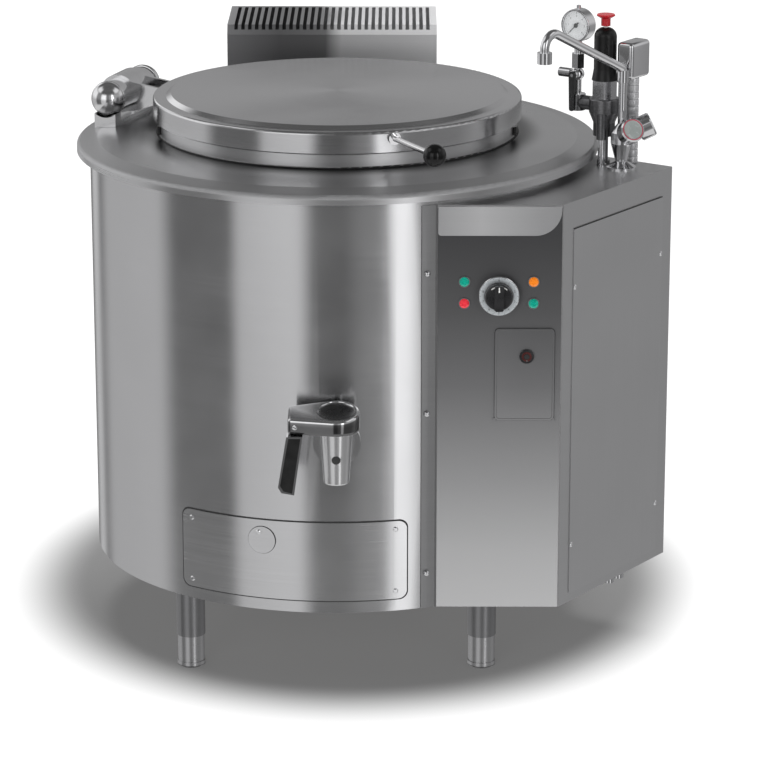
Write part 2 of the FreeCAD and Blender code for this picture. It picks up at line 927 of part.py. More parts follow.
for frame in tail_frames:
    front_openings.append(rod("TailTopHole", s.tail_radius + s.pass_gap, past * 2,
                              frame.at(0, 0, s.cabinet_top - past)))
    front_openings.append(rod("TailFloorHole", s.tail_thread_radius + s.pass_gap, past * 2,
                              frame.at(0, 0, s.casing_bottom - past)))
cabinet_join = joined("CabinetJoin", [cabinet_body, strip_body] + lugs)
cabinet_solid = without("CabinetTrim", cabinet_join, [drum_clearance])
node("cabinet_shell", without("cabinet_shell", cabinet_solid, front_openings + cabinet_holes + [pin_hole]))
for frame in strip_screw_frames + panel_screw_frames:
    screw(frame)

fascia_corners = [
    (s.fascia_left, s.cabinet_top - s.fascia_margin),
    (s.fascia_left, s.fascia_bottom, s.fascia_corner),
    (s.corner_x - s.fascia_margin, s.fascia_bottom, s.fascia_curve),
    (s.corner_x - s.fascia_margin, s.cabinet_top - s.fascia_margin),
]
fascia = prism("Fascia", "XZ", fascia_corners, 0, s.fascia_thick, front_face)
node("cabinet_fascia", fascia)

panel_corners = [
    (s.panel_inset, s.panel_bottom, s.panel_corner),
    (s.side_length - s.panel_inset, s.panel_bottom, s.panel_corner),
    (s.side_length - s.panel_inset, s.panel_top, s.panel_corner),
    (s.panel_inset, s.panel_top, s.panel_corner),
]
panel_body = prism("PanelSheet", "XZ", panel_corners, 0, s.sheet, side)
node("access_panel", without("access_panel", panel_body, [screw_hole(frame) for frame in panel_screw_frames]))

# Dial, lamps and small door on the cabinet's front; local Z points at the viewer

dial = front_face.at(s.dial_x, 0, s.dial_height, 0, 90)
scale_back = s.collar_depth
scale_front = scale_back + s.scale_thick
bezel_corners = [
    (s.spindle_stub + s.pass_gap, 0),
    (s.dial_foot_radius, 0),
    (s.dial_waist_radius, scale_back),
    (s.scale_radius, scale_back),
    (s.scale_radius, scale_front - s.edge_break),
    (s.scale_radius - s.edge_break, scale_front),
    (s.spindle_stub + s.pass_gap, scale_front),
]
node("dial_bezel", lathe("DialBezel", bezel_corners, dial))
knob_back = scale_front + s.seat_gap
knob_base_front = knob_back + s.knob_base_depth
knob_body = lathe("DialKnob", [
    (0, knob_back),
    (s.knob_radius, knob_back),
    (s.knob_radius - s.edge_break, knob_base_front, s.knob_base_round),
    (0, knob_base_front),
], dial)
bar_end = s.knob_radius - s.knob_bar_inset
bar_sketch = outline(new_sketch(knob_body, "XY", knob_base_front - s.knob_base_depth / 2), [
    (-s.knob_bar_half, -bar_end, s.knob_bar_round),
    (s.knob_bar_half, -bar_end, s.knob_bar_round),
    (s.knob_bar_half, bar_end, s.knob_bar_round),
    (-s.knob_bar_half, bar_end, s.knob_bar_round),
])
add_pad(knob_body, bar_sketch, s.knob_depth - s.knob_base_depth / 2)
bore_sketch = circle(new_sketch(knob_body, "XY", knob_back - past), 0, 0, s.spindle_stub + s.turn_gap)
add_pocket(knob_body, bore_sketch, past + s.dial_stub_depth, forward=True)
node("dial_knob", knob_body)

for name, places in lamp_places.items():
    lamps = []
    for lamp_x, lamp_z in places:
        lamps.append(lathe("Lamp", [
            (0, -s.lamp_depth),
            (s.lamp_radius - s.lamp_flange, -s.lamp_depth),
            (s.lamp_radius - s.lamp_flange, 0),
            (s.lamp_radius, 0),
            (s.lamp_radius, s.lamp_rise * dome_foot),
            (s.lamp_radius * dome_crown, s.lamp_rise),
            (0, s.lamp_rise),
        ], front_face.at(lamp_x, 0, lamp_z, 0, 90)))
    node(name, grouped(name, lamps) if len(lamps) > 1 else lamps[0])

door_back = s.seat_gap
door_profile = [
    (s.door_left, s.door_bottom),
    (s.door_right, s.door_bottom),
    (s.door_right, s.door_top, s.door_corner),
    (s.door_left, s.door_top, s.door_corner),
]
door_plate = prism("DoorPlate", "XZ", door_profile, door_back, s.door_thick, front_face)
latch_frame = front_face.at(latch_middle, -door_back - s.door_thick, latch_level, 0, 90)
door_edge = rod("DoorEdge", s.door_thick / 2, door_width, door_pivot.at(s.door_left, 0, 0, 90, 90))
door_strip = block("DoorStrip", door_width + past * 2, s.door_thick + past * 2, past + s.door_thick / 2,
                   front_face.at(s.door_left - past, -s.door_thick - past, s.door_bottom - past))
pin_end = s.lug_width - s.edge_break
door_pin = rod("DoorPin", s.door_pin_radius, door_width + pin_end * 2,
               door_pivot.at(s.door_left - pin_end, 0, 0, 90, 90))
latch_hole = rod("LatchHole", s.spindle_stub + s.turn_gap, past * 2, latch_frame.at(0, 0, -past))
door_trim = without("DoorTrim", door_plate, [door_strip])
node("small_door", without("small_door", joined("DoorJoin", [door_trim, door_edge, door_pin]), [latch_hole]))
latch_body = lathe("LatchBody", [
    (0, -s.latch_shank),
    (s.spindle_stub, -s.latch_shank),
    (s.spindle_stub, s.turn_gap),
    (s.latch_radius, s.turn_gap),
    (s.latch_radius, s.latch_rise - s.edge_break),
    (s.latch_radius - s.edge_break, s.latch_rise),
    (0, s.latch_rise),
], latch_frame)
latch_cam = block("LatchCam", s.spindle_stub * 2, s.cam_length, s.cam_thick,
                  latch_frame.at(-s.spindle_stub, -s.spindle_stub, -s.latch_shank - s.cam_thick))
node("door_latch", joined("door_latch", [latch_body, latch_cam]))

# Gas valve behind the dial, gas line and burner

valve_block = block("ValveBlock", s.valve_width, s.valve_depth, s.valve_height,
                    front_face.at(s.valve_left, wall, s.valve_bottom))
valve_spindle = rod("ValveSpindle", s.spindle_stub, wall + lap + knob_back + s.dial_stub_depth - s.seat_gap,
                    front_face.at(s.dial_x, wall + lap, s.dial_height, 0, 90))


def tube(name, path, radius, frame):
    """A round bar along a path of corners (x, z) in the frame's upright plane."""
    body = new_body(name, frame)
    spine = outline(new_sketch(body, "XZ"), path, closed=False)
    first, second = [Vector(size(item[0]).value, 0, size(item[1]).value) for item in path[:2]]
    upright = abs(second.x - first.x) < 1e-6
    section = new_sketch(body, "XY" if upright else "YZ", path[0][1] if upright else path[0][0])
    circle(section, path[0][0] if upright else 0, 0 if upright else path[0][1], radius)
    pipe = body.newObject("PartDesign::AdditivePipe", "Pipe")
    pipe.Profile = section
    pipe.Spine = spine
    body.Tip = pipe
    return body


inlet_start = s.valve_left + s.valve_width - lap
valve_outlet = s.valve_bottom + s.valve_height / 2
inlet_first = tube("InletFirst", [
    (inlet_start, valve_outlet),
    (s.inlet_x, valve_outlet, s.inlet_bend),
    (s.inlet_x, s.inlet_height + s.inlet_rise),
], s.inlet_tube, drum.at(0, inlet_y, 0))
inlet_second = tube("InletSecond", [
    (0, s.inlet_rise + lap),
    (0, 0, s.gas_bend),
    (inlet_run, 0),
], s.inlet_tube, drum.at(s.inlet_x, inlet_y, s.inlet_height, alpha))
inlet_end = rod("InletEnd", s.inlet_thread, s.inlet_thread_length,
                inlet_frame.at(0, inlet_run - s.inlet_thread_length, 0, 0, -90))
inlet_bore = rod("InletBore", s.inlet_tube - s.inlet_wall, s.inlet_thread_length + past,
                 inlet_frame.at(0, inlet_run - s.inlet_thread_length, 0, 0, -90))
valve_join = joined("ValveJoin", [valve_block, valve_spindle, inlet_first, inlet_second, inlet_end])
node("gas_valve", without("gas_valve", valve_join, [inlet_bore]))

gas_line = tube("gas_pipe", [
    (s.gas_line_radius, s.valve_bottom - s.seat_gap),
    (s.gas_line_radius, s.burner_height, s.gas_bend),
    (s.burner_stub_end + s.seat_gap, s.burner_height),
], s.gas_tube, drum.at(0, 0, 0, s.gas_angle))
node("gas_pipe", gas_line)

burner_ring = doc.addObject("Part::Torus", "BurnerRing")
fix(burner_ring, "Radius1", s.burner_radius)
fix(burner_ring, "Radius2", s.burner_tube)
place(burner_ring, drum.at(0, 0, s.burner_height))
burner_parts = [burner_ring]
base_top = s.casing_bottom + s.base_thick
post_count = 3
for step in range(post_count):
    post_angle = s.gas_angle + 180 / post_count + step * 360 / post_count
    burner_parts.append(rod("BurnerPost", s.burner_post_radius, s.burner_height - base_top,
                            drum.at(0, 0, 0, post_angle).at(s.burner_radius, 0, base_top)))
burner_parts.append(rod("BurnerStub", s.gas_tube + s.burner_stub_wall, s.burner_stub_end - s.burner_radius,
                        outward(s.gas_angle, s.burner_radius, s.burner_height)))
node("burner", joined("burner", burner_parts))

# Drum casing, worktop ring, base plate and lining

rim_slope = (s.rim_crease_height - s.rim_edge_height) / (s.rim_radius - s.rim_crease_radius)
rim_above_casing = s.rim_crease_height - rim_slope * (s.casing_radius - s.rim_crease_radius)
casing_top = rim_above_casing - s.top_sheet - s.seat_gap
casing_body = lathe("CasingSheet", [
    (s.casing_radius - s.sheet, s.casing_bottom),
    (s.casing_radius, s.casing_bottom),
    (s.casing_radius, casing_top),
    (s.casing_radius - s.sheet, casing_top),
])
casing_holes = [screw_hole(frame) for frame in cover_screw_frames + strip_screw_frames]
node("outer_casing", without("outer_casing", casing_body, [
    drain_passage, gas_passage, flue_passage, window_passage] + casing_holes))

top = s.top_sheet
rim_corners = [
    (s.neck_radius - top, s.neck_height),
    (s.neck_radius, s.neck_height),
    (s.neck_radius, s.neck_foot_height, s.neck_round),
    (s.rim_crease_radius, s.rim_crease_height),
    (s.rim_radius, s.rim_edge_height, s.rim_edge_round),
    (s.rim_radius, s.rim_lip_bottom),
    (s.rim_radius - top, s.rim_lip_bottom),
    (s.rim_radius - top, s.rim_edge_height - top, s.rim_edge_round - top),
    (s.rim_crease_radius, s.rim_crease_height - top),
    (s.neck_radius - top, s.neck_foot_height - top, s.neck_round + top),
]
node("rim_top", lathe("rim_top", rim_corners))

base_body = lathe("base_plate", [
    (s.air_hole_radius, s.casing_bottom),
    (s.casing_radius - s.sheet - s.seat_gap, s.casing_bottom),
    (s.casing_radius - s.sheet - s.seat_gap, base_top),
    (s.air_hole_radius, base_top),
])
node("base_plate", base_body)

vessel_outer = s.vessel_radius + s.vessel_wall
vessel_top = s.neck_height + s.vessel_wall
vessel_body = lathe("VesselShell", [
    (0, s.vessel_bottom - s.vessel_wall),
    (vessel_outer, s.vessel_bottom - s.vessel_wall, s.vessel_knuckle + s.vessel_wall),
    (vessel_outer, s.neck_height),
    (s.neck_radius, s.neck_height),
    (s.neck_radius, vessel_top),
    (s.vessel_radius, vessel_top),
    (s.vessel_radius, s.vessel_bottom, s.vessel_knuckle),
    (0, s.vessel_bottom),
])
drain_frame = drum.at(s.tap_x, 0, drain_level, 0, 90)
drain_start = s.vessel_radius - s.vessel_knuckle
flange_back = s.casing_radius + s.seat_gap
drain_tube = rod("DrainTube", s.drain_radius, flange_back - s.drain_setback - drain_start,
                 drain_frame.at(0, 0, drain_start))
drain_bore = rod("DrainBore", s.drain_bore, s.casing_radius, drain_frame.at(0, 0, drain_start - past))
half_wall = s.vessel_wall / 2
tube_trim = lathe("TubeTrim", [
    (0, s.vessel_bottom - half_wall),
    (s.vessel_radius + half_wall, s.vessel_bottom - half_wall, s.vessel_knuckle + half_wall),
    (s.vessel_radius + half_wall, vessel_top),
    (0, vessel_top),
])
vessel_join = joined("VesselJoin", [vessel_body, without("DrainStub", drain_tube, [tube_trim])])
node("inner_vessel", without("inner_vessel", vessel_join, [drain_bore]))

jacket_outer = s.jacket_radius + s.jacket_wall
jacket_body = lathe("JacketShell", [
    (0, s.jacket_bottom - s.jacket_wall),
    (jacket_outer, s.jacket_bottom - s.jacket_wall, s.jacket_knuckle + s.jacket_wall),
    (jacket_outer, s.jacket_top),
    (vessel_outer + s.seat_gap, s.jacket_top),
    (vessel_outer + s.seat_gap, s.jacket_top - s.jacket_wall),
    (s.jacket_radius, s.jacket_top - s.jacket_wall),
    (s.jacket_radius, s.jacket_bottom, s.jacket_knuckle),
    (0, s.jacket_bottom),
])
node("steam_jacket", without("steam_jacket", jacket_body, [drain_passage]))

shroud_outer = s.shroud_radius + s.sheet
shroud_body = lathe("ShroudSheet", [
    (s.shroud_radius, base_top),
    (shroud_outer, base_top),
    (shroud_outer, s.jacket_top),
    (jacket_outer + s.seat_gap, s.jacket_top),
    (jacket_outer + s.seat_gap, s.jacket_top - s.sheet),
    (s.shroud_radius, s.jacket_top - s.sheet),
])
node("heat_shroud", without("heat_shroud", shroud_body, [drain_passage, gas_passage, flue_passage,
                                                        window_passage]))

blanket_body = lathe("Blanket", [
    (shroud_outer + s.seat_gap, base_top),
    (s.casing_radius - s.sheet - s.seat_gap, base_top),
    (s.casing_radius - s.sheet - s.seat_gap, s.blanket_top),
    (shroud_outer + s.seat_gap, s.blanket_top),
])
node("insulation", without("insulation", blanket_body, [drain_passage, gas_passage, flue_passage,
                                                       window_passage]))

# Legs and levelling feet

leg_places = {
    "front_left": -180 + s.leg_angle,
    "front_right": -s.leg_angle,
    "rear_left": 180 - s.leg_angle,
    "rear_right": s.leg_angle,
}
legs = []
for corner_name, angle in leg_places.items():
    leg_frame = drum.at(0, 0, 0, angle).at(s.leg_circle, 0, 0)
    legs.append(lathe("LegTube", [
        (s.spindle_radius + s.turn_gap, s.leg_bottom),
        (s.leg_radius, s.leg_bottom),
        (s.leg_radius, s.casing_bottom),
        (s.leg_radius - s.leg_wall, s.casing_bottom),
        (s.leg_radius - s.leg_wall, s.leg_insert_top),
        (s.spindle_radius + s.turn_gap, s.leg_insert_top),
    ], leg_frame))
    node("foot_" + corner_name, lathe("Foot", [
        (0, 0),
        (s.foot_pad_radius - s.foot_chamfer, 0),
        (s.foot_pad_radius, s.foot_chamfer),
        (s.foot_pad_radius, s.foot_pad_height),
        (s.foot_radius, s.foot_pad_height),
        (s.foot_radius, s.leg_bottom - s.seat_gap),
        (s.spindle_radius, s.leg_bottom - s.seat_gap),
        (s.spindle_radius, s.spindle_top),
        (0, s.spindle_top),
    ], leg_frame))
node("leg_tubes", grouped("leg_tubes", legs))

# Drain tap; its own frame stands on the tap's axis

tap = drum.at(s.tap_x, -s.tap_reach, 0)
tap_shell = lathe("TapShell", [
    (0, tap_foot),
    (s.tap_bottom_radius, tap_foot, s.tap_edge_round),
    (s.tap_top_radius, tap_head),
    (0, tap_head),
], tap)
tap_neck = rod("TapNeck", s.tap_neck_radius, s.tap_reach - flange_back, tap.at(0, 0, drain_level, 0, -90))
tap_flange = rod("TapFlange", s.tap_flange_radius, s.tap_flange_thick + past,
                 tap.at(0, s.tap_reach - flange_back - s.tap_flange_thick, drain_level, 0, -90))
plug_space = lathe("PlugSpace", [
    (0, tap_foot - past),
    (s.tap_mouth_radius, tap_foot - past),
    (s.tap_mouth_radius, plug_foot),
    (s.plug_bottom_radius, plug_foot),
    (s.plug_top_radius, tap_head),
    (s.plug_top_radius, tap_head + past),
    (0, tap_head + past),
], tap)
drain_axis = tap.at(0, 0, drain_level, 0, -90)
tap_way = rod("TapWay", s.tap_way_radius, s.tap_reach - flange_back + past, drain_axis)
tap_mark = rod("TapMark", s.tap_mark_radius, past,
               tap.at(0, -s.plug_top_radius - s.tap_mark_wall, drain_level - s.tap_mark_drop, 0, 90))
tap_drum = rod("TapDrum", flange_back, s.tap_flange_radius * 4,
               drum.at(0, 0, drain_level - s.tap_flange_radius * 2))
tap_join = joined("TapJoin", [tap_shell, tap_neck, tap_flange])
node("tap_body", without("tap_body", tap_join, [plug_space, tap_way, tap_mark, tap_drum]))

plug_body = lathe("PlugCone", [
    (0, plug_foot + s.seat_gap),
    (s.plug_bottom_radius - s.turn_gap, plug_foot + s.seat_gap),
    (s.plug_top_radius - s.turn_gap, tap_head),
    (s.plug_stem_radius, tap_head),
    (s.plug_stem_radius, tap_head + s.plug_stem_height),
    (0, tap_head + s.plug_stem_height),
], tap)
plug_down = rod("PlugDown", s.plug_port_radius, drain_level - plug_foot + past,
                tap.at(0, 0, plug_foot - past))
plug_side = rod("PlugSide", s.plug_port_radius, s.plug_top_radius + past,
                tap.at(0, 0, drain_level, 90, 90))
node("tap_plug", without("tap_plug", plug_body, [plug_down, plug_side]))

lever_bottom = tap_head + s.seat_gap
lever_full = head_back + past - lever_bottom
head_disc = rod("HeadDisc", s.head_radius, lever_full, tap.at(0, 0, lever_bottom))
lever_arm = prism("LeverArm", "XY", [
    (-s.arm_reach, -s.arm_end_half, s.arm_corner),
    (0, -s.head_radius),
    (0, s.head_radius),
    (-s.arm_reach, s.arm_end_half, s.arm_corner),
], lever_bottom, lever_full, tap)
half_fall = (head_back - head_front) / 2
slope_cut = prism("HeadSlope", "YZ", [
    (-s.head_radius * 2, head_front - half_fall),
    (s.head_radius * 2, head_back + half_fall),
    (s.head_radius * 2, head_back + past * 2),
    (-s.head_radius * 2, head_back + past * 2),
], 0, s.arm_reach * 3, tap, midplane=True)
dish_radius = (s.head_dish_radius * s.head_dish_radius + s.head_dish_depth * s.head_dish_depth) / (
    s.head_dish_depth * 2)
head_middle = (head_front + head_back) / 2
dish = doc.addObject("Part::Sphere", "HeadDish")
fix(dish, "Radius", dish_radius)
place(dish, tap.at(0, 0, head_middle - s.head_dish_depth + dish_radius))
stem_hole = rod("StemHole", s.plug_stem_radius + s.turn_gap, past + s.plug_stem_height + s.seat_gap,
                tap.at(0, 0, tap_head - past))
lever_join = joined("LeverJoin", [head_disc, lever_arm])
node("tap_lever", without("tap_lever", lever_join, [slope_cut, dish, stem_hole]))

grip_left_low = s.grip_top_left + s.grip_lean_angle
grip_right_low = s.grip_top_right + s.grip_lean_angle
grip = drum.at(0, -s.tap_reach - s.arm_end_half + s.grip_depth / 2, 0)


def grip_outline(inset):
    return [
        (-s.grip_top_left + inset, lever_bottom - s.seat_gap - inset),
        (-s.grip_top_right - inset, lever_bottom - s.seat_gap - inset),
        (-grip_right_low - inset, grip_foot - s.grip_toe_drop + inset),
        (-grip_left_low + s.grip_toe_width + inset, grip_foot + inset),
        (-grip_left_low + inset, grip_foot + s.grip_toe_height + inset),
    ]


grip_body = prism("GripFrame", "XZ", grip_outline(0), 0, s.grip_depth, grip)
grip_pocket = outline(new_sketch(grip_body, "XZ", s.grip_wall), grip_outline(s.grip_wall))
add_pocket(grip_body, grip_pocket, s.grip_depth, forward=True)
node("tap_grip_frame", grip_body)
insert_body = prism("tap_grip_insert", "XZ", grip_outline(s.grip_wall + s.turn_gap), s.grip_wall,
                    s.grip_depth - s.grip_wall + s.grip_insert_rise, grip)
node("tap_grip_insert", insert_body)

# Flue duct and its slotted cover

flue_left = s.flue_x - s.flue_width / 2
duct_box = block("DuctBox", s.flue_width, s.flue_depth, s.flue_crease - s.flue_bottom,
                 drum.at(flue_left, s.flue_front, s.flue_bottom))
port_length = s.flue_front - s.jacket_radius
port_height = s.flue_port_top - s.flue_port_bottom
port_outer = block("PortOuter", (s.flue_port_half + s.sheet) * 2, port_length + s.sheet,
                   port_height + s.sheet * 2,
                   drum.at(s.flue_x - s.flue_port_half - s.sheet, s.jacket_radius,
                           s.flue_port_bottom - s.sheet))
duct_space = block("DuctSpace", s.flue_width - s.sheet * 2, s.flue_depth - s.sheet * 2,
                   s.flue_crease - s.flue_bottom,
                   drum.at(flue_left + s.sheet, s.flue_front + s.sheet, s.flue_bottom + s.sheet))
port_space = block("PortSpace", s.flue_port_half * 2, port_length + past * 2, port_height,
                   drum.at(s.flue_x - s.flue_port_half, s.jacket_radius - past, s.flue_port_bottom))
shroud_space = rod("ShroudSpace", shroud_outer + s.seat_gap, port_height + past * 2,
                   drum.at(0, 0, s.flue_port_bottom - past))
duct_join = joined("DuctJoin", [duct_box, port_outer])
node("flue_duct", without("flue_duct", duct_join, [duct_space, port_space, shroud_space]))

flue_middle = drum.at(s.flue_x, 0, 0)
grille_body = prism("FlueGrille", "YZ", [
    (s.flue_front, s.flue_crease),
    (s.flue_front + s.flue_bevel, s.flue_top),
    (flue_back, s.flue_top),
    (flue_back, s.flue_crease),
], 0, s.flue_width, flue_middle, midplane=True)
grille_space = outline(new_sketch(grille_body, "YZ"), [
    (s.flue_front + s.sheet, s.flue_crease - past),
    (s.flue_front + s.sheet, s.flue_crease),
    (s.flue_front + s.flue_bevel + s.sheet / 2, s.flue_top - s.sheet),
    (flue_back - s.sheet, s.flue_top - s.sheet),
    (flue_back - s.sheet, s.flue_crease - past),
])
add_pocket(grille_body, grille_space, s.flue_width - s.sheet * 2, midplane=True)
first_slot = -s.slot_pitch * (s.slot_count - 1) / 2
slot_sketch = outline(new_sketch(grille_body, "XY", s.flue_top + past), [
    (first_slot - s.slot_width / 2, s.flue_front + s.slot_margin),
    (first_slot + s.slot_width / 2, s.flue_front + s.slot_margin),
    (first_slot + s.slot_width / 2, flue_back - s.slot_margin * 2),
    (first_slot - s.slot_width / 2, flue_back - s.slot_margin * 2),
])
slot = add_pocket(grille_body, slot_sketch, s.flue_top - s.flue_crease + past * 2)
slots = grille_body.newObject("PartDesign::LinearPattern", "Slots")
slots.Originals = [slot]
slots.Direction = (slot_sketch, ["H_Axis"])
fix(slots, "Length", s.slot_pitch * (s.slot_count - 1))
slots.Occurrences = SIZES["slot_count"]
slots.setExpression("Occurrences", "Sizes.slot_count")
grille_body.Tip = slots
node("flue_grille", grille_body)

# Lid

lid_sheet = s.sheet
crown_foot = s.lid_crown_radius + s.lid_shoulder
lid_corners = [
    (s.lid_radius - lid_sheet, s.lid_bottom),
    (s.lid_radius, s.lid_bottom),
    (s.lid_radius, s.lid_ring_height, s.lid_edge_round),
    (crown_foot, s.lid_ring_height),
    (s.lid_crown_radius, s.lid_crown_height),
    (0, s.lid_crown_height),
    (0, s.lid_crown_height - lid_sheet),
    (s.lid_crown_radius, s.lid_crown_height - lid_sheet),
    (crown_foot, s.lid_ring_height - lid_sheet),
    (s.lid_radius - lid_sheet, s.lid_ring_height - lid_sheet, s.lid_edge_round - lid_sheet),
]
node("lid_shell", lathe("lid_shell", lid_corners))
liner_edge = s.lid_radius - lid_sheet - s.seat_gap
drip_outer = s.drip_ring_radius + lid_sheet / 2
drip_inner = s.drip_ring_radius - lid_sheet / 2
drip_bottom = s.lid_bottom - s.drip_ring_depth
node("lid_liner", lathe("lid_liner", [
    (0, s.lid_bottom),
    (drip_inner, s.lid_bottom),
    (drip_inner, drip_bottom),
    (drip_outer, drip_bottom),
    (drip_outer, s.lid_bottom),
    (liner_edge, s.lid_bottom),
    (liner_edge, s.lid_bottom + lid_sheet),
    (0, s.lid_bottom + lid_sheet),
]))
seal_outer = s.neck_radius - s.seal_inset
node("lid_seal", lathe("lid_seal", [
    (seal_outer - s.seal_width, vessel_top + s.seat_gap),
    (seal_outer, vessel_top + s.seat_gap),
    (seal_outer, s.lid_bottom),
    (seal_outer - s.seal_width, s.lid_bottom),
]))

handle_start = s.lid_radius + s.seat_gap
handle_base = outward(s.handle_angle, handle_start, s.handle_height)
handle = drum.at(handle_start * cosine(s.handle_angle), handle_start * sine(s.handle_angle), s.handle_height,
                 s.handle_turn_angle + 90, 90)
rod_boss = rod("RodBoss", s.handle_boss_radius, s.handle_boss_length, handle_base)
rod_end = s.handle_length - s.handle_ball_radius + s.handle_rod_entry
rod_bar = rod("RodBar", s.handle_rod_radius, rod_end - s.handle_rod_start,
              handle.at(0, 0, s.handle_rod_start))
node("lid_handle_rod", joined("lid_handle_rod", [rod_boss, rod_bar]))
ball_sphere = doc.addObject("Part::Sphere", "BallSphere")
fix(ball_sphere, "Radius", s.handle_ball_radius)
place(ball_sphere, handle.at(0, 0, s.handle_length))
ball_fit = rod("BallFit", s.handle_rod_radius + s.turn_gap, rod_end + s.seat_gap, handle)
node("lid_handle_ball", without("lid_handle_ball", ball_sphere, [ball_fit]))

# Counterbalanced hinge. In its frame X runs along the shaft, to the front, and Y points at the lid

hinge = drum.at(s.hinge_radius * cosine(s.hinge_angle), s.hinge_radius * sine(s.hinge_angle), s.hinge_height,
                s.hinge_angle + 90)
shaft_axis = hinge.at(0, 0, 0, 90, 90)
barrel_half = s.barrel_half
end_thick = s.barrel_end
barrel_body = lathe("hinge_barrel", [
    (s.shaft_radius + s.turn_gap, -barrel_half),
    (s.barrel_radius, -barrel_half),
    (s.barrel_radius, barrel_half),
    (s.shaft_radius + s.turn_gap, barrel_half),
    (s.shaft_radius + s.turn_gap, barrel_half - end_thick),
    (s.barrel_radius - s.barrel_wall, barrel_half - end_thick),
    (s.barrel_radius - s.barrel_wall, end_thick - barrel_half),
    (s.shaft_radius + s.turn_gap, end_thick - barrel_half),
], shaft_axis)
node("hinge_barrel", barrel_body)
shaft_half = barrel_half + s.cap_length - s.shaft_inset
node("hinge_shaft", rod("hinge_shaft", s.shaft_radius, shaft_half * 2, shaft_axis.at(0, 0, -shaft_half)))
cap_start = barrel_half + s.seat_gap
caps = []
for turn in (90, -90):
    caps.append(lathe("EndCap", [
        (s.cap_hole_radius, shaft_half + s.seat_gap),
        (s.shaft_radius + s.turn_gap, shaft_half + s.seat_gap),
        (s.shaft_radius + s.turn_gap, cap_start),
        (s.cap_radius, cap_start),
        (s.cap_radius, cap_start + s.cap_length, s.cap_round),
        (s.cap_hole_radius, cap_start + s.cap_length),
    ], hinge.at(0, 0, 0, turn, 90)))
node("hinge_end_caps", grouped("hinge_end_caps", caps))

rim_envelope = lathe("RimEnvelope", [
    (0, s.jacket_top),
    (s.rim_radius + past, s.jacket_top),
    (s.rim_radius + past, s.rim_edge_height + s.seat_gap - rim_slope * past),
    (s.rim_crease_radius, s.rim_crease_height + s.seat_gap),
    (s.neck_radius, s.neck_foot_height + s.seat_gap),
    (0, s.neck_foot_height + s.seat_gap),
])
base_lift = s.saddle_base_height - s.hinge_height
saddle_low = s.rim_lip_bottom - s.hinge_height
saddle_parts = []
saddle_length = s.cap_length - s.saddle_end_inset
for start in (cap_start, -cap_start - saddle_length):
    saddle_parts.append(block("Saddle", saddle_length, s.saddle_half_width * 2, -saddle_low - s.saddle_drop,
                              hinge.at(start, -s.saddle_half_width, saddle_low)))
saddle_parts.append(block("SaddleBase", (cap_start + saddle_length) * 2, s.saddle_half_width * 2,
                          base_lift - saddle_low, hinge.at(-cap_start - saddle_length, -s.saddle_half_width,
                                                           saddle_low)))
cradle_half = cap_start + s.cap_length + past
cradle = rod("Cradle", s.cap_radius + s.seat_gap, cradle_half * 2, shaft_axis.at(0, 0, -cradle_half))
node("hinge_bracket", without("hinge_bracket", joined("SaddleJoin", saddle_parts), [rim_envelope, cradle]))

lid_gap = s.lid_radius + s.seat_gap
lid_reach = s.hinge_radius - lid_gap
arm_low = s.lid_bottom + s.arm_margin - s.hinge_height
arm_high = s.lid_ring_height - s.lid_edge_round - s.arm_margin - s.hinge_height
arm_end = lid_reach + s.arm_plate_thick / 2
arm_parts = [rod("ArmCollar", s.collar_radius, s.collar_half * 2, shaft_axis.at(0, 0, -s.collar_half))]
for arm_x in (s.collar_half - s.arm_thick, -s.collar_half):
    arm_parts.append(prism("HingeArm", "YZ", [
        (0, -s.collar_radius + s.arm_inset),
        (s.collar_radius - s.arm_inset * 2, -s.collar_radius + s.arm_inset),
        (arm_end, arm_low),
        (arm_end, arm_high),
        (s.collar_radius - s.arm_inset * 3, s.collar_radius - s.arm_inset * 3),
        (0, s.collar_radius - s.arm_inset),
    ], arm_x, s.arm_thick, hinge))
plate_body = lathe("ArmPlate", [
    (lid_gap, s.hinge_height + arm_low),
    (lid_gap + s.arm_plate_thick, s.hinge_height + arm_low),
    (lid_gap + s.arm_plate_thick, s.hinge_height + arm_high),
    (lid_gap, s.hinge_height + arm_high),
], drum.at(0, 0, 0, s.hinge_angle), s.arm_plate_half_angle * 2)
arm_parts.append(plate_body)
barrel_space = rod("BarrelSpace", s.barrel_radius + s.turn_gap, barrel_half * 2,
                   shaft_axis.at(0, 0, -barrel_half))
lid_space = rod("LidSpace", lid_gap, s.lid_crown_height - s.lid_bottom + past,
                drum.at(0, 0, s.lid_bottom - past))
node("lid_arm", without("lid_arm", joined("ArmJoin", arm_parts), [barrel_space, lid_space]))

# The torsion spring is a helix, which the sketcher can't draw
coil_half = barrel_half - end_thick - s.spring_wire_radius - s.seat_gap
coil_radius = (s.barrel_radius - s.barrel_wall - s.seat_gap - s.spring_wire_radius).value
helix = Part.makeHelix(s.spring_pitch.value, coil_half.value * 2, coil_radius)
wire_section = Part.Wire(Part.makeCircle(s.spring_wire_radius.value, Vector(coil_radius, 0, 0),
                                         Vector(0, 1, 0)))
spring = doc.addObject("Part::Feature", "hinge_spring")
spring.Shape = Part.Wire(helix).makePipeShell([wire_section], True, True)
place(spring, shaft_axis.at(0, 0, -coil_half))
node("hinge_spring", spring)

# Safety valve, gauge and pressure switch. In their frame X points out of the cabinet's side and the
# gauge looks along -Y

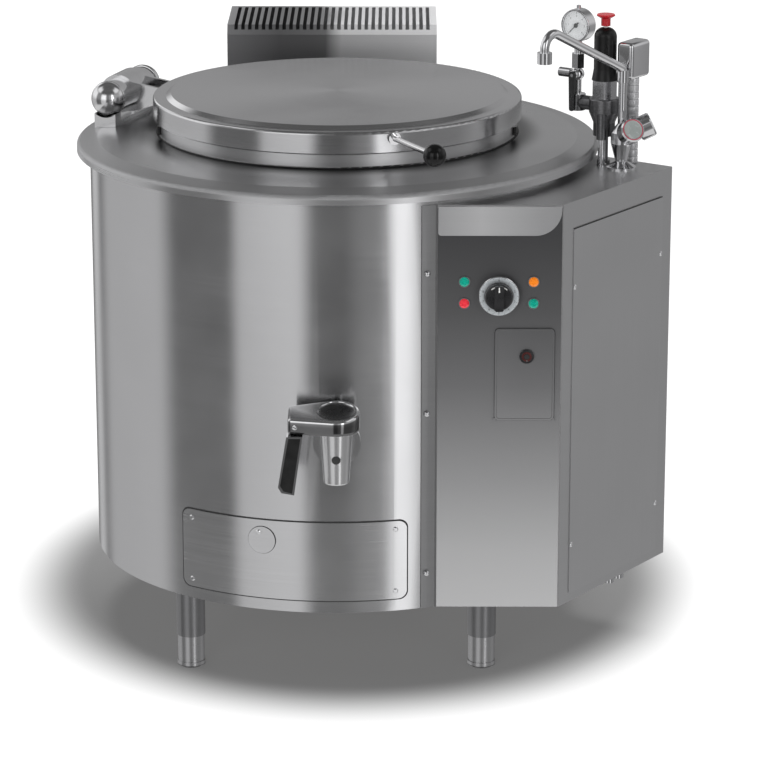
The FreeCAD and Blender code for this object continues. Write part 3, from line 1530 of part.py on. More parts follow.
body_parts = [lathe("ValveBody", [
    (0, s.cabinet_top),
    (s.supply_radius + s.supply_foot, s.cabinet_top),
    (s.supply_radius + s.supply_foot, s.cabinet_top + s.supply_foot_height - s.edge_break),
    (s.supply_radius, s.cabinet_top + s.supply_foot_height),
    (s.supply_radius, socket_foot),
    (s.socket_radius, socket_foot),
    (s.socket_radius, socket_head),
    (s.chamber_radius, chamber_foot),
    (s.chamber_radius, chamber_head, s.chamber_round),
    (0, chamber_head),
], valve_frame)]
body_parts.append(rod("GaugeArm", s.gauge_arm_radius, -s.gauge_side,
                      valve_frame.at(0, 0, arm_level, -90, 90)))
post_radius = s.gauge_arm_radius + s.post_margin
body_parts.append(rod("GaugePost", post_radius, post_radius * 2,
                      valve_frame.at(s.gauge_side, 0, arm_level - post_radius)))
boss_bottom = socket_foot - s.boss_drop
body_parts.append(rod("BlowOffBoss", s.boss_radius, chamber_foot - boss_bottom,
                      valve_frame.at(s.boss_side, s.boss_front, boss_bottom)))
node("blow_off_pipe", lathe("blow_off_pipe", [
    (0, s.cabinet_top),
    (s.blow_off_radius + s.blow_off_foot, s.cabinet_top),
    (s.blow_off_radius + s.blow_off_foot, s.cabinet_top + s.blow_off_foot_height - s.edge_break),
    (s.blow_off_radius, s.cabinet_top + s.blow_off_foot_height),
    (s.blow_off_radius, boss_bottom - s.seat_gap),
    (0, boss_bottom - s.seat_gap),
], valve_frame.at(s.boss_side, s.boss_front)))


def hexagon(name, radius, bottom, height, frame):
    prism_object = doc.addObject("Part::Prism", name)
    prism_object.Polygon = 6
    fix(prism_object, "Circumradius", radius)
    fix(prism_object, "Height", height)
    return place(prism_object, frame.at(0, 0, bottom))


body_parts.append(hexagon("BonnetHex", s.hex_radius, chamber_head - s.chamber_round,
                          hex_head - chamber_head + s.chamber_round, valve_frame))
node("safety_valve_body", joined("safety_valve_body", body_parts))
hood = lathe("Hood", [
    (0, hex_head),
    (s.cap_body_radius + s.hood_skirt, hex_head),
    (s.cap_body_radius, hex_head + s.hood_skirt_height),
    (s.cap_body_radius, hood_head, s.hood_round),
    (0, hood_head),
], valve_frame)
stem_bottom = hood_head - s.knob_stem_depth
stem_bore = rod("StemBore", s.knob_stem_radius + s.turn_gap, s.knob_stem_depth + s.seat_gap + past,
                valve_frame.at(0, 0, stem_bottom - s.seat_gap))
node("safety_valve_cap", without("safety_valve_cap", hood, [stem_bore]))
neck_bottom = hood_head + s.knob_neck_start
node("safety_valve_knob", lathe("safety_valve_knob", [
    (0, stem_bottom),
    (s.knob_stem_radius, stem_bottom),
    (s.knob_stem_radius, neck_bottom),
    (s.knob_neck_radius, neck_bottom),
    (s.knob_neck_radius, knob_head - s.knob_flare),
    (s.knob_rim_radius, knob_head - s.knob_rim_height),
    (s.knob_rim_radius, knob_head - s.edge_break),
    (s.knob_rim_radius - s.edge_break, knob_head),
    (0, knob_head),
], valve_frame))

gauge = valve_frame.at(s.gauge_side, 0, 0)
post_top = arm_level + post_radius
stem_top = gauge_level - s.gauge_radius
nut_bottom = cock_level + s.cock_radius
nut_top = nut_bottom + s.gauge_nut_height
cock_ball = doc.addObject("Part::Sphere", "CockBall")
fix(cock_ball, "Radius", s.cock_radius)
place(cock_ball, gauge.at(0, 0, cock_level))
cock_stem = rod("CockStem", s.gauge_stem_radius, nut_bottom - post_top, gauge.at(0, 0, post_top))
test_way = rod("TestWay", s.gauge_stem_radius - s.edge_break, s.test_way_length,
               gauge.at(0, 0, cock_level, -90, 90))
test_knob = rod("TestKnob", s.test_knob_radius, s.test_knob_length,
                gauge.at(-s.test_knob_start, 0, cock_level, -90, 90))
cock_seat = rod("CockSeat", s.gauge_stem_radius, s.cock_radius + s.cock_seat,
                gauge.at(0, 0, cock_level, 0, 90))
lever_pin = rod("LeverPin", s.lever_pin_radius, s.cock_radius + s.lever_pin_reach,
                gauge.at(0, 0, cock_level, 0, 90))
node("gauge_cock", joined("gauge_cock", [cock_ball, cock_stem, test_way, test_knob, cock_seat, lever_pin]))
lever_y = s.cock_radius + s.cock_seat + s.seat_gap
lever_top = cock_level + s.cock_lever_half
lever_tip = cock_level - s.cock_lever_length
cock_lever_body = prism("cock_lever", "XZ", [
    (-s.cock_lever_half, lever_top, s.cock_lever_half - s.edge_break),
    (-s.cock_lever_tip, lever_tip, s.cock_lever_tip - s.edge_break),
    (s.cock_lever_tip, lever_tip, s.cock_lever_tip - s.edge_break),
    (s.cock_lever_half, lever_top, s.cock_lever_half - s.edge_break),
], lever_y, s.cock_lever_thick, gauge)
pin_sketch = circle(new_sketch(cock_lever_body, "XZ", lever_y - past), 0, cock_level,
                    s.lever_pin_radius + s.turn_gap)
add_pocket(cock_lever_body, pin_sketch, s.cock_lever_thick + past * 2, forward=True)
node("cock_lever", cock_lever_body)

gauge_face = gauge.at(0, 0, gauge_level, 0, 90)
front_depth = s.gauge_depth / 2
case_body = lathe("GaugeCase", [
    (0, -front_depth),
    (s.gauge_radius, -front_depth, s.case_back_round),
    (s.gauge_radius, front_depth, s.case_front_round),
    (s.gauge_face_radius, front_depth),
    (s.gauge_face_radius, front_depth - s.gauge_recess),
    (0, front_depth - s.gauge_recess),
], gauge_face)
gauge_nut = hexagon("GaugeNut", s.gauge_nut_radius, nut_bottom, nut_top - nut_bottom, gauge)
gauge_stem = rod("GaugeStem", s.gauge_stem_radius, stem_top - nut_top + s.case_back_round,
                 gauge.at(0, 0, nut_top))
gauge_plug = rod("GaugePlug", s.gauge_plug_radius, s.gauge_plug_height + lap * 2,
                 gauge.at(0, 0, gauge_level + s.gauge_radius - lap * 2))
needle_post = rod("NeedlePost", s.needle_post_radius, s.needle_post_height,
                  gauge_face.at(0, 0, front_depth - s.gauge_recess))
node("gauge_case", joined("gauge_case", [case_body, gauge_nut, gauge_stem, gauge_plug, needle_post]))
needle_level = front_depth - s.gauge_recess + s.edge_break
needle_body = prism("gauge_needle", "XY", [
    (-s.needle_half, -s.needle_tail),
    (s.needle_half, -s.needle_tail),
    (s.needle_half, 0),
    (s.needle_tip_half, s.needle_length),
    (-s.needle_tip_half, s.needle_length),
    (-s.needle_half, 0),
], needle_level, s.needle_thick, gauge_face.at(0, 0, 0, s.needle_rest_angle))
needle_bore = circle(new_sketch(needle_body, "XY", needle_level - past), 0, 0,
                     s.needle_post_radius + s.turn_gap)
add_pocket(needle_body, needle_bore, past * 2, forward=True)
node("gauge_needle", needle_body)
glass_back = front_depth - s.glass_inset
node("gauge_glass", rod("gauge_glass", s.gauge_face_radius - s.turn_gap, s.glass_thick,
                        gauge_face.at(0, 0, glass_back)))

nipple_rows = []
nipple_steps = 7
step_height = (switch_foot - s.cabinet_top) / nipple_steps
for step in range(nipple_steps):
    low = s.cabinet_top + step_height * step
    groove_low = low + step_height - s.thread_depth
    nipple_rows.append((s.nipple_radius, low))
    nipple_rows.append((s.nipple_radius, groove_low))
    nipple_rows.append((s.nipple_radius - s.thread_depth, groove_low))
    nipple_rows.append((s.nipple_radius - s.thread_depth, low + step_height))
nipple = lathe("Nipple", [(0, s.cabinet_top)] + nipple_rows + [(0, switch_foot)], switch_frame)
half_width = s.switch_width / 2
half_length = s.switch_length / 2
switch_box = prism("SwitchBox", "XY", [
    (-half_width, -half_length, s.switch_corner),
    (half_width, -half_length, s.switch_corner),
    (half_width, half_length, s.switch_corner),
    (-half_width, half_length, s.switch_corner),
], switch_foot, switch_head - switch_foot, switch_frame)
node("pressure_switch", joined("pressure_switch", [nipple, switch_box]))

# Hot and cold water mixer with its swivel spout

joint_radius = s.mixer_joint_radius
mixer_parts = [lathe("MixerBody", [
    (0, s.cabinet_top),
    (s.mixer_base_radius, s.cabinet_top),
    (s.mixer_base_radius, s.cabinet_top + s.mixer_foot_height),
    (s.mixer_throat_radius, s.cabinet_top + s.mixer_throat_height),
    (joint_radius, joint_level - s.joint_half),
    (joint_radius, joint_level + s.joint_half),
    (s.mixer_column_radius, joint_level + s.joint_rise),
    (s.mixer_column_radius, column_head - s.column_collar),
    (s.spout_sleeve_radius, column_head - s.column_collar),
    (s.spout_sleeve_radius, column_head),
    (s.spigot_radius, column_head),
    (s.spigot_radius, column_head + s.spigot_height),
    (0, column_head + s.spigot_height),
], mixer_frame)]
tail_end = s.casing_bottom - s.tail_reach
for frame in tail_frames:
    tail = frame.at(0, 0, tail_end)
    mixer_parts.append(rod("MixerTail", s.tail_radius, s.cabinet_top + lap - tail_end, tail))
    mixer_parts.append(rod("TailThread", s.tail_thread_radius, s.tail_thread_length, tail))
knob_names = {"hot_water_knob": -1, "cold_water_knob": 1}
knob_start = s.seat_length + s.seat_gap
for name, sign in knob_names.items():
    seat = mixer_frame.at(0, 0, joint_level, 90 + s.seat_spread_angle * sign, 90 - s.seat_rise_angle)
    mixer_parts.append(rod("Seat", s.seat_radius, s.seat_length, seat))
    mixer_parts.append(rod("SeatPin", s.seat_pin_radius, s.seat_length + s.seat_pin_reach, seat))
    node(name, lathe(name, [
        (s.seat_pin_radius + s.turn_gap, knob_start),
        (s.water_knob_radius - s.water_knob_chamfer, knob_start),
        (s.water_knob_radius, knob_start + s.water_knob_chamfer),
        (s.water_knob_radius, knob_start + s.water_knob_length - s.water_knob_chamfer),
        (s.water_knob_radius - s.water_knob_chamfer, knob_start + s.water_knob_length),
        (0, knob_start + s.water_knob_length),
        (0, knob_start + s.seat_pin_reach),
        (s.seat_pin_radius + s.turn_gap, knob_start + s.seat_pin_reach),
    ], seat))
node("mixer_body", joined("mixer_body", mixer_parts))

spout_frame = drum.at(s.mixer_x, s.mixer_y, 0, s.spout_angle)
column_top = column_head + s.turn_gap
spout_tube = tube("SpoutTube", [
    (0, column_top + s.spigot_height + s.edge_break),
    (0, shoulder_level, s.spout_foot_bend),
    (s.spout_reach, peak_level, s.spout_bend),
    (s.spout_reach, nozzle_level),
], s.spout_radius, spout_frame)
spout_sleeve = rod("SpoutSleeve", s.spout_sleeve_radius, s.spout_sleeve_length,
                   spout_frame.at(0, 0, column_top))
spout_nozzle = rod("SpoutNozzle", s.nozzle_radius, s.nozzle_height,
                   spout_frame.at(s.spout_reach, 0, nozzle_level))
spout_bore = rod("SpoutBore", s.spigot_radius + s.turn_gap, s.spigot_height + s.seat_gap + past,
                 spout_frame.at(0, 0, column_top - past))
nozzle_bore = rod("NozzleBore", s.nozzle_bore, s.nozzle_bore_depth + past,
                  spout_frame.at(s.spout_reach, 0, nozzle_level - past))
node("spout", without("spout", joined("SpoutJoin", [spout_tube, spout_sleeve, spout_nozzle]),
                      [spout_bore, nozzle_bore]))

node("panel_screws", grouped("panel_screws", screws))

# Checks, then one file for each piece

doc.recompute()
faults = []
for item in doc.Objects:
    if "Invalid" in item.State or "Error" in item.State:
        faults.append(f"{item.Label}: {item.State}")
for name, item in nodes.items():
    if item.Shape.isNull() or not item.Shape.isValid() or not item.Shape.Solids:
        faults.append(f"{name}: no valid solid")
if faults:
    raise RuntimeError("; ".join(faults))
os.makedirs("parts", exist_ok=True)
for name, item in nodes.items():
    item.Shape.exportStep(f"parts/{name}.step")
print(len(nodes), "pieces")
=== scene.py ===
import json
import math

import bpy
from mathutils import Matrix, Vector


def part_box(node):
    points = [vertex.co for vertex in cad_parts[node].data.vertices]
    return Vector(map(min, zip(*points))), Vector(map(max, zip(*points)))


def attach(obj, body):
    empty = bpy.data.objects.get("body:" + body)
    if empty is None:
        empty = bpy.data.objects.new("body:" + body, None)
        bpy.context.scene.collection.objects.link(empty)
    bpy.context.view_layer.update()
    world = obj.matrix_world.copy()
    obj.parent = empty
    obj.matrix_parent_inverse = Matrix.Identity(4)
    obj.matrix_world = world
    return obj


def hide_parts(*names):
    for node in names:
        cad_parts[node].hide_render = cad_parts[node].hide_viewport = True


# Gas boiling kettle: its finishes, small fittings, floor, light and camera.
# Everything is in metres, and the front looks towards -Y.

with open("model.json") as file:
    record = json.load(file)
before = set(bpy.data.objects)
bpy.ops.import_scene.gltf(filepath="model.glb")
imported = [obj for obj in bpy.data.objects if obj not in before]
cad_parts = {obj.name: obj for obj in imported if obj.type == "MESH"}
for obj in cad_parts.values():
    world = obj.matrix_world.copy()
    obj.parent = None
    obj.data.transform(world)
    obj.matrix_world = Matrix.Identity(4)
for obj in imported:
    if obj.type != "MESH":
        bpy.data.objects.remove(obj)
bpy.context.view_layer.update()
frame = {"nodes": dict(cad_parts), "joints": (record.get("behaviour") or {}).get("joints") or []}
nodes = frame["nodes"]
joints = {joint["name"]: joint for joint in frame["joints"]}
up = Vector((0, 0, 1))
front = Vector((0, -1, 0))
side_angle = math.radians(54.9)


def middle(node):
    low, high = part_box(node)
    return (low + high) / 2


drum = middle("rim_top")
drum.z = 0


# Finishes

class Patterns:
    """A tree of nodes, added by hand."""

    def __init__(self, tree):
        self.tree = tree

    def add(self, kind, **settings):
        made = self.tree.nodes.new(kind)
        for setting, value in settings.items():
            setattr(made, setting, value)
        return made

    def link(self, out, into):
        self.tree.links.new(out, into)

    def put(self, into, value):
        """An input takes a number, a colour or another node's socket."""
        if isinstance(value, bpy.types.NodeSocket):
            self.link(value, into)
        else:
            into.default_value = value

    def give(self, node, **values):
        """Fills the named inputs of a node."""
        for name, value in values.items():
            self.put(node.inputs[name.replace("_", " ")], value)

    def pair(self, kind, operation, first, second):
        """One step of work on two numbers or two places."""
        step = self.add(kind, operation=operation)
        self.put(step.inputs[0], first)
        self.put(step.inputs[1], second)
        return step.outputs[0]

    def maths(self, operation, first, second):
        return self.pair("ShaderNodeMath", operation, first, second)

    def place_maths(self, operation, first, second):
        return self.pair("ShaderNodeVectorMath", operation, first, second)

    def times(self, first, second):
        return self.maths("MULTIPLY", first, second)

    def plus(self, first, second):
        return self.maths("ADD", first, second)

    def split(self, where):
        """The x, y and z of a place or a direction."""
        parts = self.add("ShaderNodeSeparateXYZ")
        self.link(where, parts.inputs[0])
        return parts.outputs

    def between(self, socket, low, high, start=0.3, end=0.7, kind="LINEAR"):
        """Spreads a pattern between two values."""
        spread = self.add("ShaderNodeMapRange", interpolation_type=kind)
        self.give(spread, From_Min=start, From_Max=end, To_Min=low, To_Max=high, Value=socket)
        return spread.outputs[0]

    def ramp(self, socket, stops):
        colours = self.add("ShaderNodeValToRGB")
        marks = colours.color_ramp.elements
        while len(marks) < len(stops):
            marks.new(1)
        for mark, (place, colour) in zip(marks, stops):
            mark.position = place
            mark.color = (*colour, 1)
        self.link(socket, colours.inputs[0])
        return colours.outputs[0]

    def blend(self, factor, first, second, kind="MIX"):
        """The second colour laid over the first."""
        mixed = self.add("ShaderNodeMix", data_type="RGBA", blend_type=kind)
        for number, value in ((0, factor), (6, first), (7, second)):
            self.put(mixed.inputs[number], value)
        return mixed.outputs[2]

    def within(self, tests):
        """One where every test holds, and nought elsewhere."""
        inside = None
        for kind, socket, limit in tests:
            held = self.maths(kind, socket, limit)
            inside = held if inside is None else self.times(inside, held)
        return inside


class Finish(Patterns):
    """A material with one main shader, and patterns that lie in the piece's own coordinates."""

    def __init__(self, name):
        self.material = bpy.data.materials.new(name)
        self.material.use_nodes = True
        super().__init__(self.material.node_tree)
        self.shader = self.tree.nodes["Principled BSDF"]

    def value(self, socket, amount):
        self.shader.inputs[socket].default_value = amount

    def feed(self, socket, pattern):
        """A pattern goes into one of the shader's sockets."""
        self.link(pattern, self.shader.inputs[socket])

    def fed(self, socket):
        """The pattern that one of the shader's sockets already has."""
        return self.shader.inputs[socket].links[0].from_socket

    def places(self, stretch=(1, 1, 1), centre=(0, 0, 0)):
        """Object coordinates, measured from a centre and then stretched."""
        coordinates = self.add("ShaderNodeTexCoord").outputs["Object"]
        return self.place_maths("MULTIPLY", self.place_maths("SUBTRACT", coordinates, centre), stretch)

    def distance(self, centre, stretch=(1, 1, 0)):
        """How far a point is from the upright line through a centre."""
        length = self.add("ShaderNodeVectorMath", operation="LENGTH")
        self.link(self.places(stretch, centre), length.inputs[0])
        return length.outputs["Value"]

    def normal(self):
        return self.add("ShaderNodeNewGeometry").outputs["Normal"]

    def above(self, level):
        """One above a level, and nought below it."""
        return self.maths("GREATER_THAN", self.split(self.places())[2], level)

    def rings(self, centre, across, along):
        """Coordinates that run round a centre: distance from it, angle and height."""
        x, y, z = self.split(self.places((1, 1, 1), centre))
        joined = self.add("ShaderNodeCombineXYZ")
        self.link(self.times(self.distance(centre), across), joined.inputs[0])
        self.link(self.times(self.maths("ARCTAN2", y, x), along), joined.inputs[1])
        self.link(self.times(z, across), joined.inputs[2])
        return joined.outputs[0]

    def noise(self, where, scale, detail=3, roughness=0.55):
        pattern = self.add("ShaderNodeTexNoise")
        self.give(pattern, Scale=scale, Detail=detail, Roughness=roughness, Vector=where)
        return pattern.outputs["Fac"]

    def shade(self, socket, dark, light):
        """The main colour goes from dark to light with a pattern."""
        self.feed("Base Color", self.ramp(socket, [(0.25, dark), (0.75, light)]))

    def relief(self, socket, strength, depth):
        bump = self.add("ShaderNodeBump")
        self.give(bump, Strength=strength, Distance=depth, Height=socket)
        self.feed("Normal", bump.outputs[0])

    def stretch_glints(self, amount, round_axis):
        """Brushing draws the glints out across its lines."""
        self.value("Anisotropic", amount)
        if round_axis:
            round_line = self.place_maths("CROSS_PRODUCT", up, self.places((1, 1, 0), drum))
            self.feed("Tangent", self.place_maths("CROSS_PRODUCT", self.normal(), round_line))
        else:
            upright = self.add("ShaderNodeCombineXYZ")
            upright.inputs[2].default_value = 1
            self.feed("Tangent", upright.outputs[0])


def grey(level, blue=0.005):
    """A grey, with its blue a little above or below the rest."""
    return (level, level, level + blue)


def scaled_colour(colour, amount):
    return tuple(part * amount for part in colour)


steel_tone = grey(0.60)


def brushed_finish(name, grain, tone=steel_tone, rough=0.3, glint=0.75, contrast=0.03, centre=(0, 0, 0),
                   coarse=1200):
    """Brushed stainless sheet. The grain runs across, upright or round a centre."""
    finish = Finish(name)
    finish.value("Metallic", 1)
    if grain == "round":
        lines = finish.rings(centre, coarse, 4)
    elif grain == "upright":
        lines = finish.places((coarse, coarse, 4), centre)
    else:
        lines = finish.places((4, 4, coarse), centre)
    fine = finish.noise(lines, 1, 4, 0.7)
    broad = finish.noise(finish.places((1, 1, 1), centre), 5, 3)
    finish.shade(fine, scaled_colour(tone, 1 - contrast), scaled_colour(tone, 1 + contrast))
    wear = finish.between(broad, -0.03, 0.04)
    finish.feed("Roughness", finish.plus(finish.between(fine, rough - 0.025, rough + 0.025), wear))
    finish.relief(fine, 0.03, 0.0001)
    if glint:
        finish.stretch_glints(glint, grain == "round")
    return finish


def brushed_steel(*choices, **named_choices):
    return brushed_finish(*choices, **named_choices).material


def polished_steel(name, tone=grey(0.80, 0.01), rough=0.07, cloud=12):
    """Polished or chromed metal with faint clouding and wiping marks."""
    finish = Finish(name)
    finish.value("Metallic", 1)
    clouds = finish.noise(finish.places(), cloud, 5, 0.6)
    wipes = finish.noise(finish.places((30, 300, 120)), 1, 3)
    finish.shade(clouds, scaled_colour(tone, 0.9), tone)
    finish.feed("Roughness", finish.plus(finish.between(clouds, rough - 0.02, rough + 0.05),
                                         finish.between(wipes, 0, 0.03)))
    finish.relief(wipes, 0.05, 0.00005)
    return finish.material


def cast_metal(name, dark, light, rough=0.42, grain=900, metallic=1.0):
    """Cast or sand-blasted metal with a fine pitted skin."""
    finish = Finish(name)
    finish.value("Metallic", metallic)
    skin = finish.noise(finish.places(), grain, 5, 0.7)
    stains = finish.noise(finish.places(), 30, 4)
    finish.shade(stains, dark, light)
    finish.feed("Roughness", finish.between(skin, rough - 0.08, rough + 0.12))
    finish.relief(skin, 0.3, 0.0003)
    return finish.material


def moulded_plastic(name, dark, light, rough=0.35, grain=1500, coat=0.0, shine=0.5):
    """Moulded plastic with a fine spark-eroded grain."""
    finish = Finish(name)
    grains = finish.noise(finish.places(), grain, 3, 0.6)
    handled = finish.noise(finish.places(), 40, 4)
    finish.shade(handled, dark, light)
    finish.feed("Roughness", finish.between(handled, rough - 0.06, rough + 0.1))
    finish.relief(grains, 0.12, 0.0001)
    finish.value("Coat Weight", coat)
    finish.value("Coat Roughness", 0.1)
    finish.value("Specular IOR Level", shine)
    return finish.material


def lamp_lens(name, deep, bright):
    """A coloured signal lens, ribbed inside and a little lit."""
    finish = Finish(name)
    ribs = finish.noise(finish.places(), 500, 2)
    finish.shade(ribs, deep, bright)
    finish.value("Roughness", 0.12)
    finish.value("Coat Weight", 0.6)
    finish.value("Emission Strength", 0.12)
    finish.feed("Emission Color", finish.ramp(ribs, [(0.2, deep), (0.8, bright)]))
    return finish.material


def front_sheet():
    """The cabinet's satin front, dark at its top and light at its foot, and its plain brushed sides."""
    finish = Finish("front_sheet")
    fine = finish.noise(finish.places((4, 4, 1200)), 1, 4, 0.7)
    across, depth, height = finish.split(finish.places())
    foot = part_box("cabinet_shell")[0].z
    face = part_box("small_door")[0].y
    fascia_low, fascia_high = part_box("cabinet_fascia")
    front_depth = face + 0.0045
    left_edge = fascia_low.x - 0.0008
    right_edge = fascia_high.x + 0.0008
    top_edge = fascia_high.z - 0.002
    strip_depth = -0.3
    fade = finish.ramp(finish.between(height, 1, 0, foot, fascia_low.z),
                       [(0.0, grey(0.055, 0.002)), (0.2, grey(0.09, 0.002)), (0.4, grey(0.155, 0.003)),
                        (0.65, grey(0.29, 0.003)), (0.85, grey(0.43, 0.003)), (1.0, grey(0.50, 0.003))])
    inside = finish.within([("LESS_THAN", depth, front_depth), ("GREATER_THAN", across, left_edge),
                            ("LESS_THAN", across, right_edge), ("LESS_THAN", height, top_edge)])
    strip = finish.within([("LESS_THAN", across, left_edge), ("LESS_THAN", depth, strip_depth)])
    plain = finish.ramp(fine, [(0.25, scaled_colour(steel_tone, 0.95)), (0.75, steel_tone)])
    darker = finish.ramp(fine, [(0.25, grey(0.30, 0.003)), (0.75, grey(0.33, 0.003))])
    finish.feed("Base Color", finish.blend(inside, finish.blend(strip, plain, darker), fade))
    finish.feed("Metallic", finish.between(inside, 1.0, 0.3, 0, 1))
    finish.feed("Roughness", finish.between(fine, 0.3, 0.4))
    finish.relief(fine, 0.08, 0.0001)
    finish.value("Specular IOR Level", 0.2)
    finish.stretch_glints(0.4, False)
    return finish.material


def worktop_steel():
    """Spun steel with painted shade that darkens it towards the upstand's foot, and duller on its rounded
    bends.
    """
    finish = brushed_finish("spun_top", "round", steel_tone, 0.31, 0.4, 0.02, drum, 1500)
    slope = finish.split(finish.normal())[2]
    upstand_foot = 0.333
    foot_shade_end = 0.39
    # Painted shade: the flat top darkens towards the upstand's foot, where the neck's shadow falls; the
    # upstand's own face is spared
    painted_foot_shade = finish.between(finish.distance(drum), 0.08, 1, upstand_foot, foot_shade_end, "SMOOTHERSTEP")
    amount = finish.maths("MAXIMUM", painted_foot_shade, finish.between(slope, 1, 0, 0.1, 0.5))
    finish.feed("Base Color", finish.blend(1, finish.fed("Base Color"), amount, "MULTIPLY"))
    even = grey(0, 0)
    duller = grey(0.3, 0)
    bend = finish.ramp(slope, [(0.04, even), (0.14, duller), (0.93, duller), (0.995, even)])
    finish.feed("Roughness", finish.plus(finish.fed("Roughness"), bend))
    return finish.material


def valve_metal():
    """The safety valve: dark cast below, a bright hexagon above."""
    finish = Finish("valve_metal")
    hexagon_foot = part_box("safety_valve_body")[1].z - 0.033
    above = finish.above(hexagon_foot)
    skin = finish.noise(finish.places(), 300, 4)
    dark = finish.ramp(skin, [(0.3, grey(0.16)), (0.7, grey(0.24))])
    bright = finish.ramp(skin, [(0.3, grey(0.70, 0.01)), (0.7, grey(0.78, 0.01))])
    finish.feed("Base Color", finish.blend(above, dark, bright))
    finish.feed("Roughness", finish.plus(finish.between(above, 0.3, 0.1, 0, 1),
                                         finish.between(skin, 0, 0.06)))
    finish.value("Metallic", 1)
    finish.relief(skin, 0.1, 0.0003)
    return finish.material


def reflection_banded_sheet(name, node, bands, waves=0.0, glint=0.0):
    """Satin sheet with broad upright bands of painted reflection across a node, standing for a room that
    shows in it.
    """
    finish = Finish(name)
    fine = finish.noise(finish.places((3, 3, 900)), 1, 4, 0.7)
    low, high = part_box(node)
    across = finish.between(finish.split(finish.places())[0], 0, 1, low.x, high.x)
    if waves:
        ripple = finish.noise(finish.places((5, 5, 2)), 1, 2)
        across = finish.plus(across, finish.between(ripple, -waves, waves))
    grain = finish.ramp(fine, [(0.25, grey(0.95, 0)), (0.75, grey(1, 0))])
    # Painted reflection: the bands go into the base colour
    finish.feed("Base Color", finish.blend(1, finish.ramp(across, bands), grain, "MULTIPLY"))
    finish.value("Metallic", 0.35)
    finish.feed("Roughness", finish.between(fine, 0.28, 0.38))
    finish.relief(fine, 0.06, 0.0001)
    if glint:
        finish.stretch_glints(glint, False)
    return finish.material


def lever_casting():
    """Polished metal with painted shade on the faces that turn sideways or down, and a darker, finely ground
    dish.
    """
    finish = Finish("lever_casting")
    clouds = finish.noise(finish.places(), 60, 4)
    facing_up = finish.split(finish.normal())[2]
    head_middle = Vector(joints["tap_turn"]["pos_m"])
    dish_edge = (0.0325, 0.0345)
    near = finish.between(finish.distance(head_middle), 1, 0, *dish_edge)
    dish = finish.times(near, finish.between(facing_up, 0, 1, 0.5, 0.8))
    shiny = finish.ramp(clouds, [(0.3, grey(0.70)), (0.7, grey(0.78))])
    # Painted shade: faces that turn sideways or down are darkened
    shadow = finish.ramp(facing_up, [(0.02, grey(0.22, 0)), (0.35, grey(1, 0))])
    ground = finish.ramp(clouds, [(0.3, grey(0.13, 0.002)), (0.7, grey(0.18, 0.002))])
    finish.feed("Base Color", finish.blend(dish, finish.blend(1, shiny, shadow, "MULTIPLY"), ground))
    finish.feed("Roughness", finish.plus(finish.between(dish, 0.08, 0.25, 0, 1),
                                         finish.between(clouds, 0, 0.05)))
    finish.value("Metallic", 1)
    return finish.material


def mineral_wool():
    finish = Finish("mineral_wool")
    fibres = finish.noise(finish.places((60, 60, 300)), 1, 6, 0.75)
    finish.shade(fibres, (0.36, 0.32, 0.20), (0.62, 0.57, 0.40))
    finish.value("Roughness", 0.95)
    finish.value("Sheen Weight", 0.3)
    finish.relief(fibres, 0.8, 0.003)
    return finish.material


def clear_glass():
    finish = Finish("clear_glass")
    marks = finish.noise(finish.places(), 60, 3)
    finish.shade(marks, (0.86, 0.9, 0.9), (0.95, 0.97, 0.97))
    finish.feed("Roughness", finish.between(marks, 0.02, 0.06))
    finish.value("Alpha", 0.06)
    finish.value("Coat Weight", 1.0)
    return finish.material


def two_tone_knob():
    """The pull knob: a red head over a pale stem."""
    finish = Finish("relief_knob_finish")
    head_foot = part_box("safety_valve_cap")[1].z + 0.002
    speckle = finish.noise(finish.places(), 400, 3)
    red = finish.ramp(speckle, [(0.3, (0.36, 0.004, 0.010)), (0.7, (0.46, 0.008, 0.016))])
    pale = finish.ramp(speckle, [(0.3, grey(0.72, -0.02)), (0.7, grey(0.82, -0.02))])
    finish.feed("Base Color", finish.blend(finish.above(head_foot), pale, red))
    finish.feed("Roughness", finish.between(speckle, 0.22, 0.32))
    finish.value("Coat Weight", 0.3)
    return finish.material


def foot_finish():
    """Brushed steel with a dark line of painted contact shadow where the foot meets the floor."""
    finish = brushed_finish("foot_steel", "across", grey(0.46), 0.3, 0.4)
    contact_shade_heights = (0.0025, 0.0045)
    # Painted shade: the base colour darkens in the lowest few millimetres, as a contact shadow
    contact_shade = finish.between(finish.split(finish.places())[2], 0.12, 1, *contact_shade_heights)
    finish.feed("Base Color", finish.blend(1, finish.fed("Base Color"), contact_shade, "MULTIPLY"))
    return finish.material


drum_sheet = brushed_steel("drum_sheet", "across", grey(0.62), 0.195, 0.85, 0.015, drum, 1500)
spun_top = worktop_steel()
spun_lid = brushed_steel("spun_lid", "round", grey(0.62), 0.2, 0.8, 0.03, drum, 1500)
side_sheet = brushed_steel("side_sheet", "upright", rough=0.34, glint=0.4)
cover_sheet = brushed_steel("cover_sheet", "across", grey(0.64), 0.22, 0.8, centre=drum)
# Painted reflection on the flue: dark on its left, light on its right
flue_reflection_bands = [(0.0, grey(0.20)), (0.25, grey(0.10, 0.002)), (0.46, grey(0.15, 0.002)), (0.56, grey(0.62)),
              (1.0, grey(0.78))]
flue_sheet = reflection_banded_sheet("flue_sheet", "flue_duct", flue_reflection_bands, waves=0.05)
vessel_sheet = brushed_steel("vessel_sheet", "round", rough=0.3, centre=drum, glint=0.5)
# Painted shade: the legs' steel is toned dark for the kettle's shadow they stand in; the lamp rims share this
# steel
leg_steel = brushed_steel("leg_steel", "across", grey(0.26), 0.36, 0.3)
foot_steel = foot_finish()
